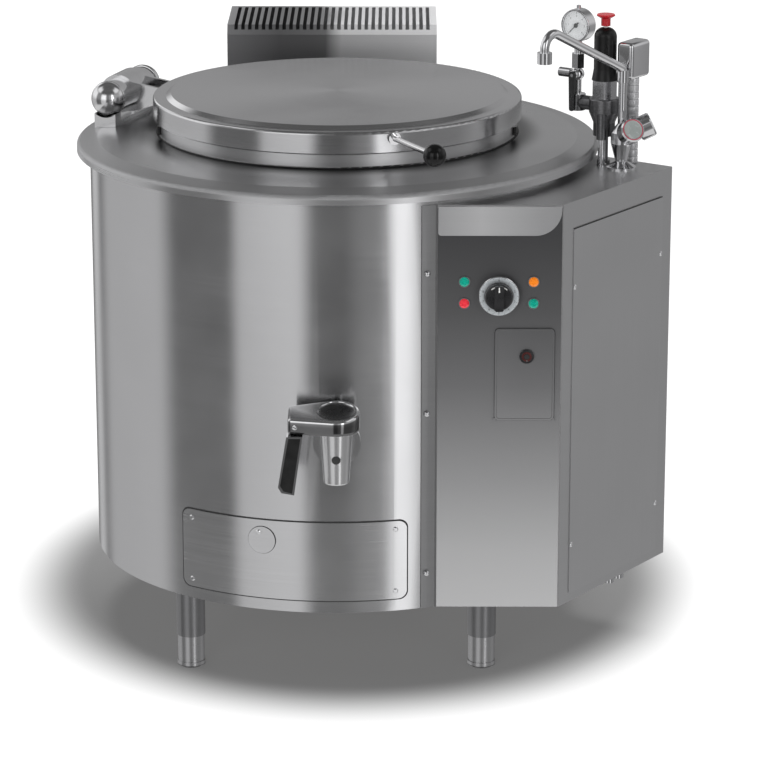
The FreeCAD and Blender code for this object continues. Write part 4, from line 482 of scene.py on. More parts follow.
# Painted reflection on the fascia, in broad bands across it
fascia_reflection_bands = [(0.0, grey(0.34)), (0.35, grey(0.45)), (0.85, grey(0.32)), (1.0, grey(0.30))]
fascia_steel = reflection_banded_sheet("fascia_steel", "cabinet_fascia", fascia_reflection_bands, glint=0.3)
hidden_steel = brushed_steel("hidden_steel", "round", (0.4, 0.38, 0.36), 0.45, 0, 0.12, drum, 60)
screw_steel = polished_steel("screw_steel", rough=0.2, cloud=200)
hinge_metal = polished_steel("hinge_metal", grey(0.74), 0.12, 30)
tap_metal = polished_steel("tap_metal", grey(0.78), 0.08)
tap_satin = brushed_steel("tap_satin", "across", grey(0.74), 0.24, 0.2, 0.01, coarse=5000)
chrome = polished_steel("chrome", grey(0.74, 0.01), 0.06)
nipple_zinc = cast_metal("nipple_zinc", grey(0.5, 0.01), grey(0.66, 0.01), 0.3, 200, 0.6)
spring_steel = cast_metal("spring_steel", (0.16, 0.15, 0.14), (0.3, 0.29, 0.28), 0.35)
burner_iron = cast_metal("burner_iron", (0.045, 0.04, 0.038), (0.12, 0.09, 0.075), 0.6, 400, 0.8)
pipe_zinc = cast_metal("pipe_zinc", (0.42, 0.43, 0.44), (0.6, 0.61, 0.62), 0.4, 60)
brass = cast_metal("brass", (0.55, 0.38, 0.14), (0.78, 0.58, 0.26), 0.25, 200)
knob_black = moulded_plastic("knob_black", grey(0.008, 0.001), grey(0.02, 0.001), 0.28, coat=0.2)
ball_black = moulded_plastic("ball_black", grey(0.002, 0), grey(0.004, 0), 0.1, 800, 0.0, 0.3)
cap_black = moulded_plastic("cap_black", grey(0.004, 0), grey(0.008, 0), 0.3, 900, 0.0, 0.35)
grip_black = moulded_plastic("grip_black", grey(0.005, 0), grey(0.011, 0), 0.38, 1500, 0.0, 0.3)
rubber = moulded_plastic("rubber", grey(0.012, 0), grey(0.03, 0), 0.6, 600)
seal_silicone = moulded_plastic("seal_silicone", grey(0.05, 0.002), grey(0.09, 0.002), 0.55)
mark_ink = moulded_plastic("mark_ink", grey(0.01, 0), grey(0.025, 0), 0.5)
# Dark grey for the painted shade of the door's pressed edge
press_shade_grey = moulded_plastic("press_shade_grey", grey(0.07, 0.001), grey(0.11, 0.001), 0.4)
mark_white = moulded_plastic("mark_white", grey(0.62, -0.02), grey(0.78, -0.02), 0.45)
scale_silver = brushed_steel("scale_silver", "round", (0.78, 0.82, 0.84), 0.45, 0, 0.02,
                             middle("dial_bezel"), 900)
face_white = moulded_plastic("face_white", (0.76, 0.77, 0.78), (0.86, 0.87, 0.88), 0.5, 600)
ring_red = moulded_plastic("ring_red", (0.38, 0.02, 0.05), (0.5, 0.03, 0.07), 0.3, coat=0.4)
button_grey = moulded_plastic("button_grey", (0.20, 0.22, 0.213), (0.27, 0.292, 0.283), 0.25, coat=0.4)
latch_red = moulded_plastic("latch_red", (0.035, 0.004, 0.003), (0.07, 0.008, 0.006), 0.3)
lens_green = lamp_lens("lens_green", (0.0, 0.16, 0.11), (0.0, 0.42, 0.30))
lens_red = lamp_lens("lens_red", (0.5, 0.01, 0.02), (0.85, 0.05, 0.07))
lens_amber = lamp_lens("lens_amber", (0.6, 0.12, 0.0), (0.95, 0.28, 0.02))

wanted_finish = {
    drum_sheet: ["outer_casing"],
    cover_sheet: ["front_cover", "sight_disc"],
    spun_top: ["rim_top"],
    spun_lid: ["lid_shell"],
    vessel_sheet: ["inner_vessel", "lid_liner"],
    front_sheet(): ["cabinet_shell", "small_door"],
    side_sheet: ["access_panel"],
    fascia_steel: ["cabinet_fascia"],
    flue_sheet: ["flue_duct", "flue_grille"],
    leg_steel: ["leg_tubes"],
    foot_steel: ["foot_front_left", "foot_front_right", "foot_rear_left", "foot_rear_right"],
    hidden_steel: ["steam_jacket", "heat_shroud", "base_plate"],
    screw_steel: ["panel_screws"],
    hinge_metal: ["hinge_bracket", "hinge_barrel", "hinge_end_caps", "lid_arm", "hinge_shaft"],
    spring_steel: ["hinge_spring"],
    tap_metal: ["tap_lever", "tap_plug", "tap_grip_frame", "lid_handle_rod"],
    tap_satin: ["tap_body"],
    chrome: ["spout", "gauge_cock", "gauge_case", "pressure_switch", "blow_off_pipe", "dial_bezel",
             "hot_water_knob", "cold_water_knob", "mixer_body"],
    valve_metal(): ["safety_valve_body"],
    burner_iron: ["burner"],
    pipe_zinc: ["gas_pipe"],
    brass: ["gas_valve"],
    knob_black: ["dial_knob", "door_latch", "cock_lever"],
    ball_black: ["lid_handle_ball"],
    cap_black: ["safety_valve_cap"],
    grip_black: ["tap_grip_insert"],
    seal_silicone: ["lid_seal"],
    mark_ink: ["gauge_needle"],
    two_tone_knob(): ["safety_valve_knob"],
    mineral_wool(): ["insulation"],
    clear_glass(): ["gauge_glass"],
    lens_green: ["lamps_green"],
    lens_red: ["lamp_red"],
    lens_amber: ["lamp_amber"],
}


def dress(piece, material):
    if piece.data.materials:
        for number in range(len(piece.material_slots)):
            piece.material_slots[number].material = material
    else:
        piece.data.materials.append(material)


for material, names in wanted_finish.items():
    for name in names:
        dress(nodes[name], material)


# Workshop steps, used as by hand

def clear_selection():
    if bpy.context.object and bpy.context.object.mode != "OBJECT":
        bpy.ops.object.mode_set(mode="OBJECT")
    bpy.ops.object.select_all(action="DESELECT")


def pick(piece):
    """Selects one piece alone."""
    clear_selection()
    piece.select_set(True)
    bpy.context.view_layer.objects.active = piece


def named(name):
    piece = bpy.context.object
    piece.name = name
    piece.data.name = name
    return piece


def choose(piece, wanted):
    """Opens the piece for editing with the wanted faces selected."""
    bpy.ops.object.mode_set(mode="EDIT")
    bpy.ops.mesh.select_mode(type="FACE")
    bpy.ops.mesh.select_all(action="DESELECT")
    bpy.ops.object.mode_set(mode="OBJECT")
    for face in piece.data.polygons:
        face.select = wanted(face)
    bpy.ops.object.mode_set(mode="EDIT")


def close():
    bpy.ops.object.mode_set(mode="OBJECT")


def smooth(angle):
    bpy.ops.object.shade_smooth_by_angle(angle=math.radians(angle))


def round_edges(piece, width, segments, angle):
    edges = piece.modifiers.new("Edges", "BEVEL")
    edges.width = width
    edges.segments = segments
    edges.limit_method = "ANGLE"
    edges.angle_limit = math.radians(angle)
    bpy.ops.object.modifier_apply(modifier=edges.name)


def soften(piece, width, segments=2, angle=40):
    """Rounds the sharp edges and smooths the rest."""
    round_edges(piece, width, segments, angle)
    smooth(35)


def settle(piece, spot=Matrix.Identity(4)):
    """Moves a finished piece to its spot and leaves the place in its mesh."""
    pick(piece)
    piece.matrix_world = spot @ piece.matrix_world
    bpy.ops.object.transform_apply(location=True, rotation=True, scale=True)
    return piece


def facing(point, outward):
    """A spot whose Z looks outward and whose Y looks up."""
    along = Vector(outward).normalized()
    across = up.cross(along).normalized()
    rise = along.cross(across)
    tilted = Matrix((across, rise, along)).transposed().to_4x4()
    return Matrix.Translation(point) @ tilted


def turned(angle):
    return Matrix.Rotation(angle, 4, "Z")


def moved(x, y=0, z=0):
    return Matrix.Translation((x, y, z))


def copy_to(piece, name, spot):
    """A copy with its own mesh, at another spot."""
    twin = piece.copy()
    twin.data = piece.data.copy()
    twin.name = name
    twin.data.name = name
    bpy.context.scene.collection.objects.link(twin)
    return settle(twin, spot)


def fused(name, pieces):
    clear_selection()
    for piece in pieces:
        piece.select_set(True)
    bpy.context.view_layer.objects.active = pieces[0]
    if len(pieces) > 1:
        bpy.ops.object.join()
    return named(name)


def fitted(piece, material, body="kettle"):
    dress(piece, material)
    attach(piece, body)
    return piece


def shown_instead(piece, node, material, body):
    dress(piece, material)
    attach(piece, body)
    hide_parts(node)


def block(name, size, place=(0, 0, 0)):
    """A box with its middle at a place, to be shaped further."""
    clear_selection()
    bpy.ops.mesh.primitive_cube_add(size=1, location=place)
    piece = named(name)
    piece.scale = size
    bpy.ops.object.transform_apply(location=True, rotation=True, scale=True)
    return piece


def ring(name, outer, inner, height, edge, sides=72):
    """A flat ring on the XY plane."""
    clear_selection()
    bpy.ops.mesh.primitive_cylinder_add(vertices=sides, radius=outer, depth=height,
                                        location=(0, 0, height / 2))
    piece = named(name)
    choose(piece, lambda face: abs(face.normal.z) > 0.9)
    bpy.ops.mesh.inset(thickness=outer - inner)
    bpy.ops.mesh.bridge_edge_loops()
    close()
    soften(piece, edge)
    return piece


def disc(name, radius, height, edge, sides=48):
    """A flat disc whose face is a little crowned."""
    clear_selection()
    bpy.ops.mesh.primitive_cylinder_add(vertices=sides, radius=radius, depth=height,
                                        location=(0, 0, height / 2))
    piece = named(name)
    choose(piece, lambda face: face.normal.z > 0.9)
    bpy.ops.mesh.inset(thickness=radius * 0.4)
    bpy.ops.transform.translate(value=(0, 0, height * 0.08))
    close()
    soften(piece, edge)
    return piece


def dome(name, radius, sides, foot_share=1.0):
    """Half a ball on the XY plane, drawn in at its foot to a share of its radius."""
    clear_selection()
    bpy.ops.mesh.primitive_uv_sphere_add(segments=sides, ring_count=sides // 2, radius=radius,
                                         location=(0, 0, 0))
    piece = named(name)
    choose(piece, lambda face: True)
    bpy.ops.mesh.bisect(plane_co=(0, 0, 0), plane_no=(0, 0, 1), use_fill=True, clear_inner=True)
    bpy.ops.transform.resize(value=(foot_share, foot_share, 1))
    close()
    smooth(50)
    return piece


def bar(name, length, width, height, taper=1.0):
    """A small bar on the XY plane along Y, narrower at its far end."""
    piece = block(name, (width, length, height), (0, 0, height / 2))
    choose(piece, lambda face: face.normal.y > 0.9)
    bpy.ops.transform.resize(value=(taper, 1, 1))
    close()
    soften(piece, min(width, height) * 0.2, 1)
    return piece


def raised_digit(name, digit, size, thick):
    """A digit as a thin raised mesh, centred on the XY plane."""
    clear_selection()
    bpy.ops.object.text_add()
    text = bpy.context.object
    text.data.body = digit
    text.data.size = size
    text.data.align_x = "CENTER"
    text.data.align_y = "CENTER"
    text.data.extrude = thick
    text.data.resolution_u = 4
    bpy.ops.object.convert(target="MESH")
    return named(name)


def scale_marks(name, spot, radius, count, first, step, length, width, lift):
    """Marks round a dial, each a copy of the first."""
    mark = bar(name, length, width, lift)
    marks = []
    for number in range(count):
        place = spot @ turned(first + step * number) @ moved(0, radius)
        marks.append(copy_to(mark, f"{name}_{number}", place))
    bpy.data.objects.remove(mark)
    return fused(name, marks)


def scale_numbers(name, spot, radius, digits, first, step, size, lift):
    """One upright digit at each step round a dial."""
    numbers = []
    for number, digit in enumerate(digits):
        angle = first + step * number
        place = spot @ moved(-radius * math.sin(angle), radius * math.cos(angle))
        numbers.append(settle(raised_digit(f"{name}_{number}", digit, size, lift), place))
    return fused(name, numbers)


# Tap lever, with the rounded edges of a polished casting

lever_low, lever_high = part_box("tap_lever")
pivot = Vector(joints["tap_turn"]["pos_m"])
head_radius = lever_high.x - pivot.x
arm_reach = pivot.x - lever_low.x
arm_width = 0.050


def tap_lever():
    """A round head with a tapering arm, rounded all round and dished on top."""
    height = lever_high.z - lever_low.z
    half_way = lever_low.z + height / 2
    arm_end = 0.020
    front_drop = 0.0045
    back_rise = 0.0085
    arm_fall = 0.003
    dish_radius = 0.0335
    dish_depth = 0.0085
    clear_selection()
    bpy.ops.mesh.primitive_cylinder_add(vertices=96, radius=head_radius, depth=height,
                                        location=(pivot.x, pivot.y, half_way))
    head = named("lever_head")
    arm = block("lever_arm", (arm_end, arm_width, height), (lever_low.x + arm_end / 2, pivot.y, half_way))
    lever = fused("tap_lever_casting", [settle(head), arm])
    bpy.ops.object.mode_set(mode="EDIT")
    bpy.ops.mesh.select_all(action="SELECT")
    bpy.ops.mesh.convex_hull()
    bpy.ops.mesh.select_all(action="SELECT")
    bpy.ops.mesh.dissolve_limited(angle_limit=math.radians(1))
    close()
    for vertex in lever.data.vertices:
        if vertex.co.z > half_way:
            back = (vertex.co.y - pivot.y) / head_radius
            along_arm = max(0, (pivot.x - vertex.co.x) / arm_reach)
            vertex.co.z = lever_high.z - front_drop + back_rise * back - arm_fall * along_arm
    round_edges(lever, 0.0062, 5, 50)
    bpy.ops.mesh.primitive_uv_sphere_add(segments=96, ring_count=48, radius=1, location=(0, 0, 0))
    dish = named("lever_dish")
    dish.scale = (dish_radius, dish_radius, dish_depth)
    dish.rotation_euler = (math.atan(back_rise / head_radius), 0, 0)
    dish.location = (pivot.x, pivot.y, lever_high.z - 0.0040)
    bpy.ops.object.transform_apply(location=True, rotation=True, scale=True)
    pick(lever)
    hollow = lever.modifiers.new("Dish", "BOOLEAN")
    hollow.operation = "DIFFERENCE"
    hollow.solver = "EXACT"
    hollow.object = dish
    bpy.ops.object.modifier_apply(modifier=hollow.name)
    bpy.data.objects.remove(dish)
    smooth(32)
    return lever


shown_instead(tap_lever(), "tap_lever", lever_casting(), "tap_handle")
screw_height = 0.0016
lever_screw = disc("lever_screw", 0.0046, screw_height, 0.0006, 32)
# Painted shade: a black bar on the screw stands for the shade in its slot
lever_slot_shade = bar("lever_slot_shade", 0.0070, 0.0011, 0.0004)
tilt = math.atan((head_radius - arm_width / 2) / arm_reach)
side_normal = Vector((-math.sin(tilt), -math.cos(tilt), 0))
screw_spot = facing(Vector((lever_low.x + 0.0125, pivot.y - 0.0272, lever_low.z + 0.0140)), side_normal)
fitted(settle(lever_screw, screw_spot), screw_steel, "tap_handle")
settle(lever_slot_shade, screw_spot @ turned(math.radians(60)) @ moved(0, 0, screw_height))
fitted(lever_slot_shade, mark_ink, "tap_handle")


# Painted shade: a black disc that darkens the recess on the tap's front

tap_front = pivot.y - 0.0241
recess_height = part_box("tap_body")[0].z + 0.048
recess = disc("tap_recess_shade", 0.0074, 0.0006, 0.0001, 40)
fitted(settle(recess, facing((pivot.x, tap_front, recess_height), front)), mark_ink)


# Hinge: domed caps at both ends of the barrel

def domed_cap(name, radius, length):
    """A cap with a rolled rim and a domed end, standing on the XY plane, and a small disc inside it."""
    ball = settle(dome(name, radius, 64, 0.93), moved(0, 0, 0.004))
    rim = ring(f"{name}_rim", radius, radius * 0.80, 0.0055, 0.0018, 64)
    eye = settle(disc(f"{name}_eye", 0.0030, 0.0012, 0.0004, 24), moved(0, 0, length - 0.0008))
    return fused(name, [ball, rim, eye])


hinge_line = Vector(joints["lid_hinge"]["axis"]).normalized()
hinge_low, hinge_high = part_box("hinge_end_caps")
hinge_middle = (hinge_low + hinge_high) / 2
hinge_radius = (hinge_high.z - hinge_low.z) / 2
half_length = (hinge_high.y - hinge_low.y) / 2
slant = abs(hinge_line.y)
full_half = (half_length - hinge_radius * math.sqrt(max(0, 1 - slant * slant))) / slant
cap_length = 0.0230
caps = []
for side in (-1, 1):
    outward = hinge_line * side
    foot = hinge_middle + outward * (full_half - cap_length)
    caps.append(settle(domed_cap(f"hinge_cap_{side + 1}", hinge_radius, cap_length), facing(foot, outward)))
shown_instead(fused("hinge_caps", caps), "hinge_end_caps", hinge_metal, "kettle")


# Small door: a pressed edge drawn as a dark grey line of painted shade, with the dark line of its gap behind

def rounded_plate(name, width, height, thick, corner):
    """A plate on the XY plane with rounded corners."""
    piece = block(name, (width, height, thick), (0, 0, thick / 2))
    weights = piece.data.attributes.new("bevel_weight_edge", "FLOAT", "EDGE")
    for edge in piece.data.edges:
        first, second = (piece.data.vertices[number].co for number in edge.vertices)
        weights.data[edge.index].value = 1.0 if abs(first.z - second.z) > thick / 2 else 0.0
    corners = piece.modifiers.new("Corners", "BEVEL")
    corners.width = corner
    corners.segments = 8
    corners.limit_method = "WEIGHT"
    bpy.ops.object.modifier_apply(modifier=corners.name)
    return piece


def frame_line(name, width, height, line, thick, corner):
    """A flat rounded frame on the XY plane."""
    piece = rounded_plate(name, width, height, thick, corner)
    choose(piece, lambda face: abs(face.normal.z) > 0.9)
    bpy.ops.mesh.inset(thickness=line)
    bpy.ops.mesh.bridge_edge_loops()
    close()
    soften(piece, thick * 0.3, 2)
    return piece


door_low, door_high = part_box("small_door")
door_middle = (door_low + door_high) / 2
door_width = door_high.x - door_low.x
door_height = door_high.z - door_low.z
door_thick = door_high.y - door_low.y
door_back = facing((door_middle.x, door_high.y, door_middle.z), front)
door_face = facing((door_middle.x, door_low.y, door_middle.z), front)
door_plate = rounded_plate("door_plate", door_width, door_height, door_thick, 0.0085)
soften(door_plate, 0.0012, 3)
settle(door_plate, door_back)
shown_instead(door_plate, "small_door", nodes["small_door"].material_slots[0].material, "door")
gap_line = frame_line("door_gap", door_width + 0.0012, door_height + 0.0012, 0.004, 0.0008, 0.0090)
fitted(settle(gap_line, door_back), mark_ink)
# Painted shade: a thin dark grey frame on the door's face stands for the shade in its pressed edge
press_shade_line = frame_line("door_press_shade", door_width - 0.0060, door_height - 0.0060, 0.0010, 0.0003, 0.0060)
fitted(settle(press_shade_line, door_face), press_shade_grey, "door")


# Dial on the front

scale_thick = 0.0006
dial_low, dial_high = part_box("dial_bezel")
dial_middle = middle("dial_bezel")
knob_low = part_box("dial_knob")[0]
dial_radius = (dial_high.x - dial_low.x) / 2
dial_face = facing((dial_middle.x, dial_low.y, dial_middle.z), front)
scale_plate = ring("dial_scale_plate", dial_radius - 0.0012, 0.0253, scale_thick, 0.0002)
fitted(settle(scale_plate, dial_face), scale_silver)
dial_print = dial_face @ moved(0, 0, scale_thick)
dial_step = -math.radians(36)
dial_marks = scale_marks("dial_marks", dial_print, 0.0330, 20, 0, dial_step / 2, 0.0016, 0.0006, 0.00015)
fitted(dial_marks, mark_ink)
dial_numbers = scale_numbers("dial_numbers", dial_print, 0.0290, "012345678", 0, dial_step, 0.0052, 0.0001)
fitted(dial_numbers, mark_ink)
knob_front = facing((dial_middle.x, knob_low.y, dial_middle.z), front)
pointer = settle(bar("knob_pointer", 0.009, 0.0024, 0.0005, 0.8), knob_front @ moved(0, 0.0165, -0.0001))
fitted(pointer, mark_white, "dial")
knob_arc = ring("knob_arc", 0.0205, 0.0188, 0.0004, 0.0001)
arc_start = 0.014
choose(knob_arc, lambda face: face.center.y < arc_start)
bpy.ops.mesh.delete(type="FACE")
bpy.ops.mesh.select_all(action="SELECT")
bpy.ops.mesh.fill_holes(sides=0)
close()
knob_base_face = facing((dial_middle.x, dial_low.y - 0.0092, dial_middle.z), front)
fitted(settle(knob_arc, knob_base_face), mark_white, "dial")


# Signal lamps: a thin rim round each lens

lamp_radius = 0.0085
panel_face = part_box("cabinet_fascia")[1].y
low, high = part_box("lamps_green")
lamp_spots = [(low.x + lamp_radius, high.z - lamp_radius), (high.x - lamp_radius, low.z + lamp_radius)]
for node in ("lamp_red", "lamp_amber"):
    lamp_spots.append((middle(node).x, middle(node).z))
lamp_rim = ring("lamp_rims", 0.0102, 0.0087, 0.0018, 0.0005, 40)
lamp_rims = []
for number, (x, z) in enumerate(lamp_spots):
    lamp_rims.append(copy_to(lamp_rim, f"lamp_rim_{number}", facing((x, panel_face, z), front)))
bpy.data.objects.remove(lamp_rim)
# The rims use the legs' steel, whose dark tone is painted shade meant for the legs
fitted(fused("lamp_rims", lamp_rims), leg_steel)


# Latch of the small door

latch_middle = Vector(joints["latch_turn"]["pos_m"])
latch_face = facing((latch_middle.x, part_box("door_latch")[0].y, latch_middle.z), front)
latch_sunk = latch_face @ moved(0, 0, -0.0001)
fitted(settle(ring("latch_window", 0.0088, 0.0052, 0.0007, 0.0002, 40), latch_sunk), latch_red, "latch")
fitted(settle(disc("latch_core", 0.0046, 0.0012, 0.0004, 32), latch_sunk), mark_ink, "latch")
latch_notch = settle(bar("latch_notch", 0.0026, 0.0018, 0.0006), latch_face @ moved(0.0004, -0.0072, 0.0002))
fitted(latch_notch, screw_steel, "latch")


# Pressure gauge

gauge_look = Vector((-math.cos(side_angle), -math.sin(side_angle), 0)).normalized()
gauge_middle = Vector(joints["gauge_hand_sweep"]["pos_m"])
glass_out = (middle("gauge_glass") - gauge_middle).dot(gauge_look)
behind_glass = 0.0047
gauge_plate = facing(gauge_middle + gauge_look * (glass_out - behind_glass), gauge_look)
fitted(settle(ring("gauge_plate", 0.0266, 0.0016, scale_thick, 0.0001), gauge_plate), face_white)
gauge_face = gauge_plate @ moved(0, 0, scale_thick)
sweep_start = math.radians(135)
number_step = -math.radians(45)
short_marks = scale_marks("gauge_marks", gauge_face, 0.0235, 31, sweep_start, number_step / 5, 0.0018, 0.0003,
                          0.0001)
long_marks = scale_marks("gauge_long_marks", gauge_face, 0.0228, 7, sweep_start, number_step, 0.0036, 0.0006,
                         0.0001)
fitted(fused("gauge_marks", [short_marks, long_marks]), mark_ink)
gauge_numbers = scale_numbers("gauge_numbers", gauge_face, 0.0172, "0123456", sweep_start, number_step,
                              0.0052, 0.00008)
fitted(gauge_numbers, mark_ink)
hub = settle(disc("gauge_hub", 0.0042, 0.0008, 0.0003, 32), gauge_face @ moved(0, 0, 0.0020))
blade = bar("gauge_blade", 0.0300, 0.0026, 0.0006, 0.25)
settle(blade, gauge_face @ turned(sweep_start) @ moved(0, 0.0070, 0.0018))
shown_instead(fused("gauge_blade", [hub, blade]), "gauge_needle", mark_ink, "gauge_hand")


# Water knobs: a pale button and a coloured ring on each face

knob_reach = 0.0603


def water_button(name, colour):
    joint = joints[f"{name}_water_turn"]
    axis = Vector(joint["axis"]).normalized()
    start = Vector(joint["pos_m"])
    if (middle(f"{name}_water_knob") - start).dot(axis) < 0:
        axis = -axis
    face = facing(start + axis * (knob_reach - 0.0002), axis)
    body = f"{name}_knob"
    fitted(settle(ring(f"{name}_ring", 0.0188, 0.0176, 0.0010, 0.0003), face), colour, body)
    fitted(settle(disc(f"{name}_button", 0.0171, 0.0012, 0.0005), face), button_grey, body)


water_button("hot", ring_red)
water_button("cold", face_white)


# Rubber rests under the lid's edge, two on the neck

rest_angle = math.radians(77)
rest_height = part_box("rim_top")[1].z - 0.0105
neck_radius = 0.331
rest = bar("neck_rest", 0.0145, 0.0110, 0.0055, 0.8)
for name, side in (("neck_rest_left", -1), ("neck_rest_right", 1)):
    direction = Vector((math.sin(rest_angle) * side, -math.cos(rest_angle), 0))
    spot = facing(drum + direction * (neck_radius + 0.0002) + up * rest_height, direction)
    fitted(copy_to(rest, name, spot), rubber)
bpy.data.objects.remove(rest)


# Dark joint round the service cover

def joint_sheet(node, name, shrink, taller, turn):
    """Two copies of a round cover, turned a little each way and sunk behind it, to show all round."""
    axis_point = (drum.x, drum.y, middle(node).z)
    sheets = []
    for side in (-1, 1):
        piece = nodes[node].copy()
        piece.data = nodes[node].data.copy()
        bpy.context.scene.collection.objects.link(piece)
        pick(piece)
        bpy.ops.object.mode_set(mode="EDIT")
        bpy.ops.mesh.select_all(action="SELECT")
        bpy.ops.mesh.remove_doubles(threshold=0.00002)
        bpy.ops.transform.resize(value=(shrink, shrink, taller), orient_type="GLOBAL",
                                 center_override=axis_point)
        close()
        spin = moved(drum.x, drum.y) @ turned(turn * side) @ moved(-drum.x, -drum.y)
        sheets.append(settle(piece, spin))
    return fused(name, sheets)


cover_joint = joint_sheet("front_cover", "cover_joint", 0.998, 1.030, math.radians(0.30))
fitted(cover_joint, rubber)


# Dark joint round the sight disc

sight_middle = middle("sight_disc")
sight_out = Vector((sight_middle.x - drum.x, sight_middle.y - drum.y, 0)).normalized()
sight_joint = ring("sight_joint", 0.0259, 0.0232, 0.0009, 0.0002)
settle(sight_joint, facing(sight_middle - sight_out * 0.0014, sight_out))
fitted(sight_joint, rubber)


# Dark seam over the access panel

panel_middle = middle("access_panel")
panel_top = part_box("access_panel")[1].z
side_out = Vector((math.sin(side_angle), -math.cos(side_angle), 0))
seam_length = 0.296
seam = bar("panel_seam", seam_length, 0.0018, 0.0006)
seam_spot = facing((panel_middle.x, panel_middle.y, panel_top + 0.0006), side_out)
fitted(settle(seam, seam_spot @ moved(0, 0, 0.0004) @ turned(math.pi / 2)), mark_ink)


# Dome heads of the strip's screws, and dark crosses on them that paint the shade of their cross recesses

def screw_places():
    """The middle of each head, found as the separate lumps of the screws' mesh."""
    groups = []
    for vertex in nodes["panel_screws"].data.vertices:
        for group in groups:
            if (vertex.co - group[0]).length < 0.03:
                group.append(vertex.co.copy())
                break
        else:
            groups.append([vertex.co.copy()])
    places = []
    for group in groups:
        low = Vector(min(point[axis] for point in group) for axis in range(3))
        high = Vector(max(point[axis] for point in group) for axis in range(3))
        places.append((low + high) / 2)
    return places


strip_bearing = -69.2
strip_screws = []
head = dome("strip_screws", 0.0060, 32)
# Painted shade: a black cross stands for the shade in each head's cross recess
cross = fused("screw_cross", [bar("cross_upright", 0.0052, 0.0012, 0.0004),
                              settle(bar("cross_level", 0.0052, 0.0012, 0.0004), turned(math.pi / 2))])
strip_cross_shades = []
for spot in screw_places():
    out = Vector((spot.x - drum.x, spot.y - drum.y, 0))
    bearing = math.degrees(math.atan2(out.y, out.x))
    if abs(bearing - strip_bearing) > 2:
        continue
    face = facing(spot + out.normalized() * 0.0012, out)
    strip_screws.append(copy_to(head, f"strip_screw_{len(strip_screws)}", face))
    strip_cross_shades.append(copy_to(cross, f"strip_cross_{len(strip_cross_shades)}", face @ moved(0, 0, 0.0031)))
bpy.data.objects.remove(head)
bpy.data.objects.remove(cross)
fitted(fused("strip_screws", strip_screws), chrome)
fitted(fused("strip_cross_shades", strip_cross_shades), mark_ink)


# Pressure switch: a rounded housing on a ribbed nipple

switch_low, switch_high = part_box("pressure_switch")
switch_middle = middle("pressure_switch")
body_height = 0.067
body_foot = switch_high.z - 0.008 - body_height
body = block("switch_body", (0.064, 0.034, body_height))
soften(body, 0.0075, 5)
settle(body, moved(switch_middle.x, switch_middle.y, body_foot + body_height / 2) @ turned(side_angle))
stem_height = body_foot - switch_low.z
pitch = 0.0132
collar = ring("nipple_ring", 0.0112, 0.0070, 0.0122, 0.0010, 48)
collars = []
for number in range(int(stem_height / pitch)):
    spot = moved(switch_middle.x, switch_middle.y, body_foot - pitch * (number + 1))
    collars.append(copy_to(collar, f"nipple_ring_{number}", spot))
bpy.data.objects.remove(collar)
stem_middle = (switch_middle.x, switch_middle.y, switch_low.z + stem_height / 2)
clear_selection()
bpy.ops.mesh.primitive_cylinder_add(vertices=48, radius=0.0096, depth=stem_height, location=stem_middle)
stem = settle(named("nipple_stem"))
soften(stem, 0.0006)
fitted(fused("switch_nipple", [stem] + collars), nipple_zinc)
shown_instead(body, "pressure_switch", chrome, "kettle")


# Floor, light and camera

def floor_finish():
    """White studio floor that glows, with a wide soft shadow painted into its glow as an overhead light would
    cast, to which the kettle's own is added.
    """
    finish = Finish("floor_finish")
    speckle = finish.noise(finish.places(), 3, 2)
    finish.shade(speckle, grey(0.096, 0), grey(0.104, 0))
    finish.value("Roughness", 0.9)
    finish.value("Specular IOR Level", 0.0)
    painted_shadow_middle = (-0.034, 0.10, 0)
    painted_shadow_reach = (0.58, 0.663)
    distance = finish.distance(painted_shadow_middle, (1 / painted_shadow_reach[0], 1 / painted_shadow_reach[1], 0))
    # Painted shadow: the glow is dim inside an ellipse round the kettle and white outside it
    finish.feed("Emission Color", finish.between(distance, 0.125, 0.98, 0.90, 1.22, "SMOOTHSTEP"))
    finish.value("Emission Strength", 1.0)
    return finish.material


clear_selection()
bpy.ops.mesh.primitive_plane_add(size=60, location=(0, 0, 0))
floor = named("floor")
dress(floor, floor_finish())
floor.visible_glossy = False

# Brightness of the room by direction, in degrees from straight in front, and then to the right
room_bands = [(-180, 0.18), (-164, 0.18), (-158, 0.6), (-150, 0.6), (-144, 0.2), (-134, 0.52), (-90, 0.56),
              (-80, 0.15), (-50.5, 0.15), (-45, 0.60), (-17, 0.72), (-10, 0.12), (4, 0.11), (12, 0.22),
              (22.5, 0.25), (26.5, 1.3), (34, 1.4), (39, 0.2), (80, 0.22), (100, 0.36), (122, 0.3),
              (138, 0.2), (180, 0.18)]
# Two windows high up, one to the left and one to the right
window_bands = [(-180, 0.12), (-128, 0.12), (-112, 1.0), (-72, 1.0), (-56, 0.12), (50, 0.12), (66, 0.9),
                (104, 0.9), (120, 0.12), (180, 0.12)]
# By height, from -1 straight down to 1 straight up: how bright the room's floor and ceiling are
room_heights = [(-1.0, 0.75), (-0.45, 0.75), (0.5, 0.2), (1.0, 0.12)]
# Where the two windows show
window_heights = [(0.52, 0), (0.62, 1), (0.80, 1), (0.90, 0)]
# Where the floor and the ceiling cover the bands
cover_heights = [(-0.55, 1), (-0.42, 0), (0.45, 0), (0.60, 1)]
# How much of their doubled brightness the bands keep
lift_heights = [(-0.12, 0.5), (0.12, 1.0)]

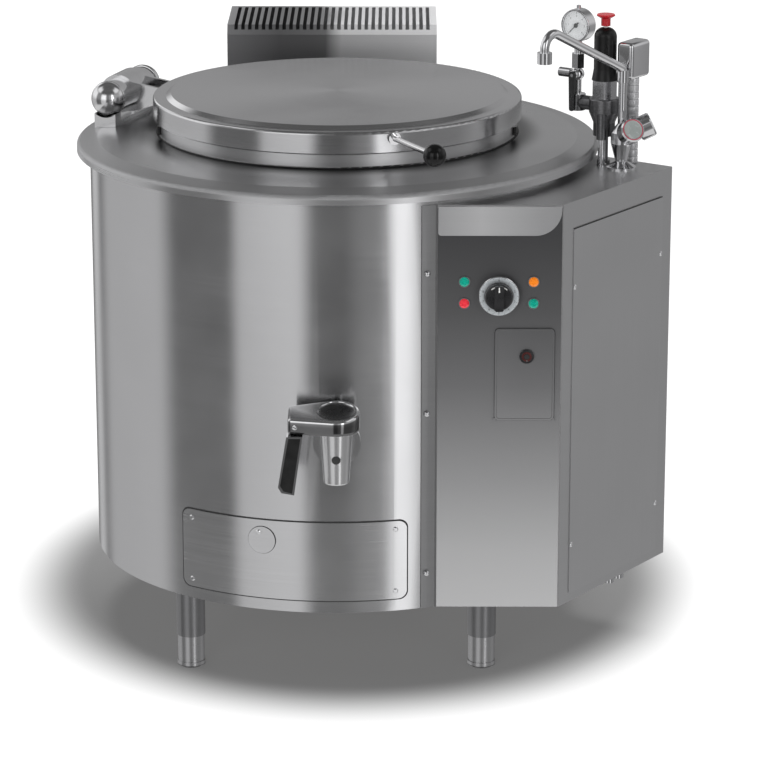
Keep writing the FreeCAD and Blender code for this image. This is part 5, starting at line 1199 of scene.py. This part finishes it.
world = bpy.data.worlds.new("room")
bpy.context.scene.world = world
world.use_nodes = True
room = Patterns(world.node_tree)
to_right, to_back, to_top = room.split(room.add("ShaderNodeTexCoord").outputs["Generated"])
bearing = room.maths("ARCTAN2", to_right, room.times(to_back, -1))
turn_share = room.between(bearing, 0, 1, -math.pi, math.pi)
height_share = room.between(to_top, 0, 1, -1, 1)


def by_direction(bands):
    """The room's light in each direction, from behind round to behind again."""
    stops = [((degrees + 180) / 360, grey(light, light * 0.01)) for degrees, light in bands]
    return room.ramp(turn_share, stops)


def by_height(levels):
    """A grey for each height, from straight down to straight up."""
    stops = [((level + 1) / 2, grey(light, 0)) for level, light in levels]
    return room.ramp(height_share, stops)


kept_light = room.place_maths("MULTIPLY", by_direction(room_bands), by_height(lift_heights))
walls = room.place_maths("MULTIPLY", kept_light, (2, 2, 2))
covered = room.blend(by_height(cover_heights), walls, by_height(room_heights))
lit = room.blend(by_height(window_heights), covered, by_direction(window_bands))
background = room.tree.nodes["Background"]
room.give(background, Color=lit, Strength=1.0)

clear_selection()
bpy.ops.object.light_add(type="SUN", location=(0, 0, 5))
top_light = bpy.context.object
top_light.name = "top_light"
top_light.data.energy = 3.7
top_light.data.angle = math.radians(28)
top_light.rotation_euler = (math.radians(-11), 0, 0)
top_light.visible_glossy = False


def soft_box(name, place, width, height, power):
    """A large soft lamp that faces the kettle and that polished metal doesn't show."""
    bpy.ops.object.light_add(type="AREA", location=place)
    lamp = bpy.context.object
    lamp.name = name
    lamp.data.shape = "RECTANGLE"
    lamp.data.size = width
    lamp.data.size_y = height
    lamp.data.energy = power
    lamp.rotation_euler = (Vector((0, 0, 0.7)) - lamp.location).to_track_quat("-Z", "Y").to_euler()
    lamp.visible_glossy = False


soft_box("front_light", (-1.5, -5.5, 1.1), 3, 1.6, 105)

camera_data = bpy.data.cameras.new("camera")
camera = bpy.data.objects.new("camera", camera_data)
bpy.context.scene.collection.objects.link(camera)
camera_data.sensor_width = 36
camera_data.lens = 165.347
camera_data.clip_end = 100
camera.location = (drum.x + 0.11536, drum.y - 6.37546, 2.32353)
camera.rotation_euler = (math.pi / 2 - 0.287081, 0, 0.004656)
bpy.context.scene.camera = camera
bpy.context.scene.view_settings.view_transform = "Standard"
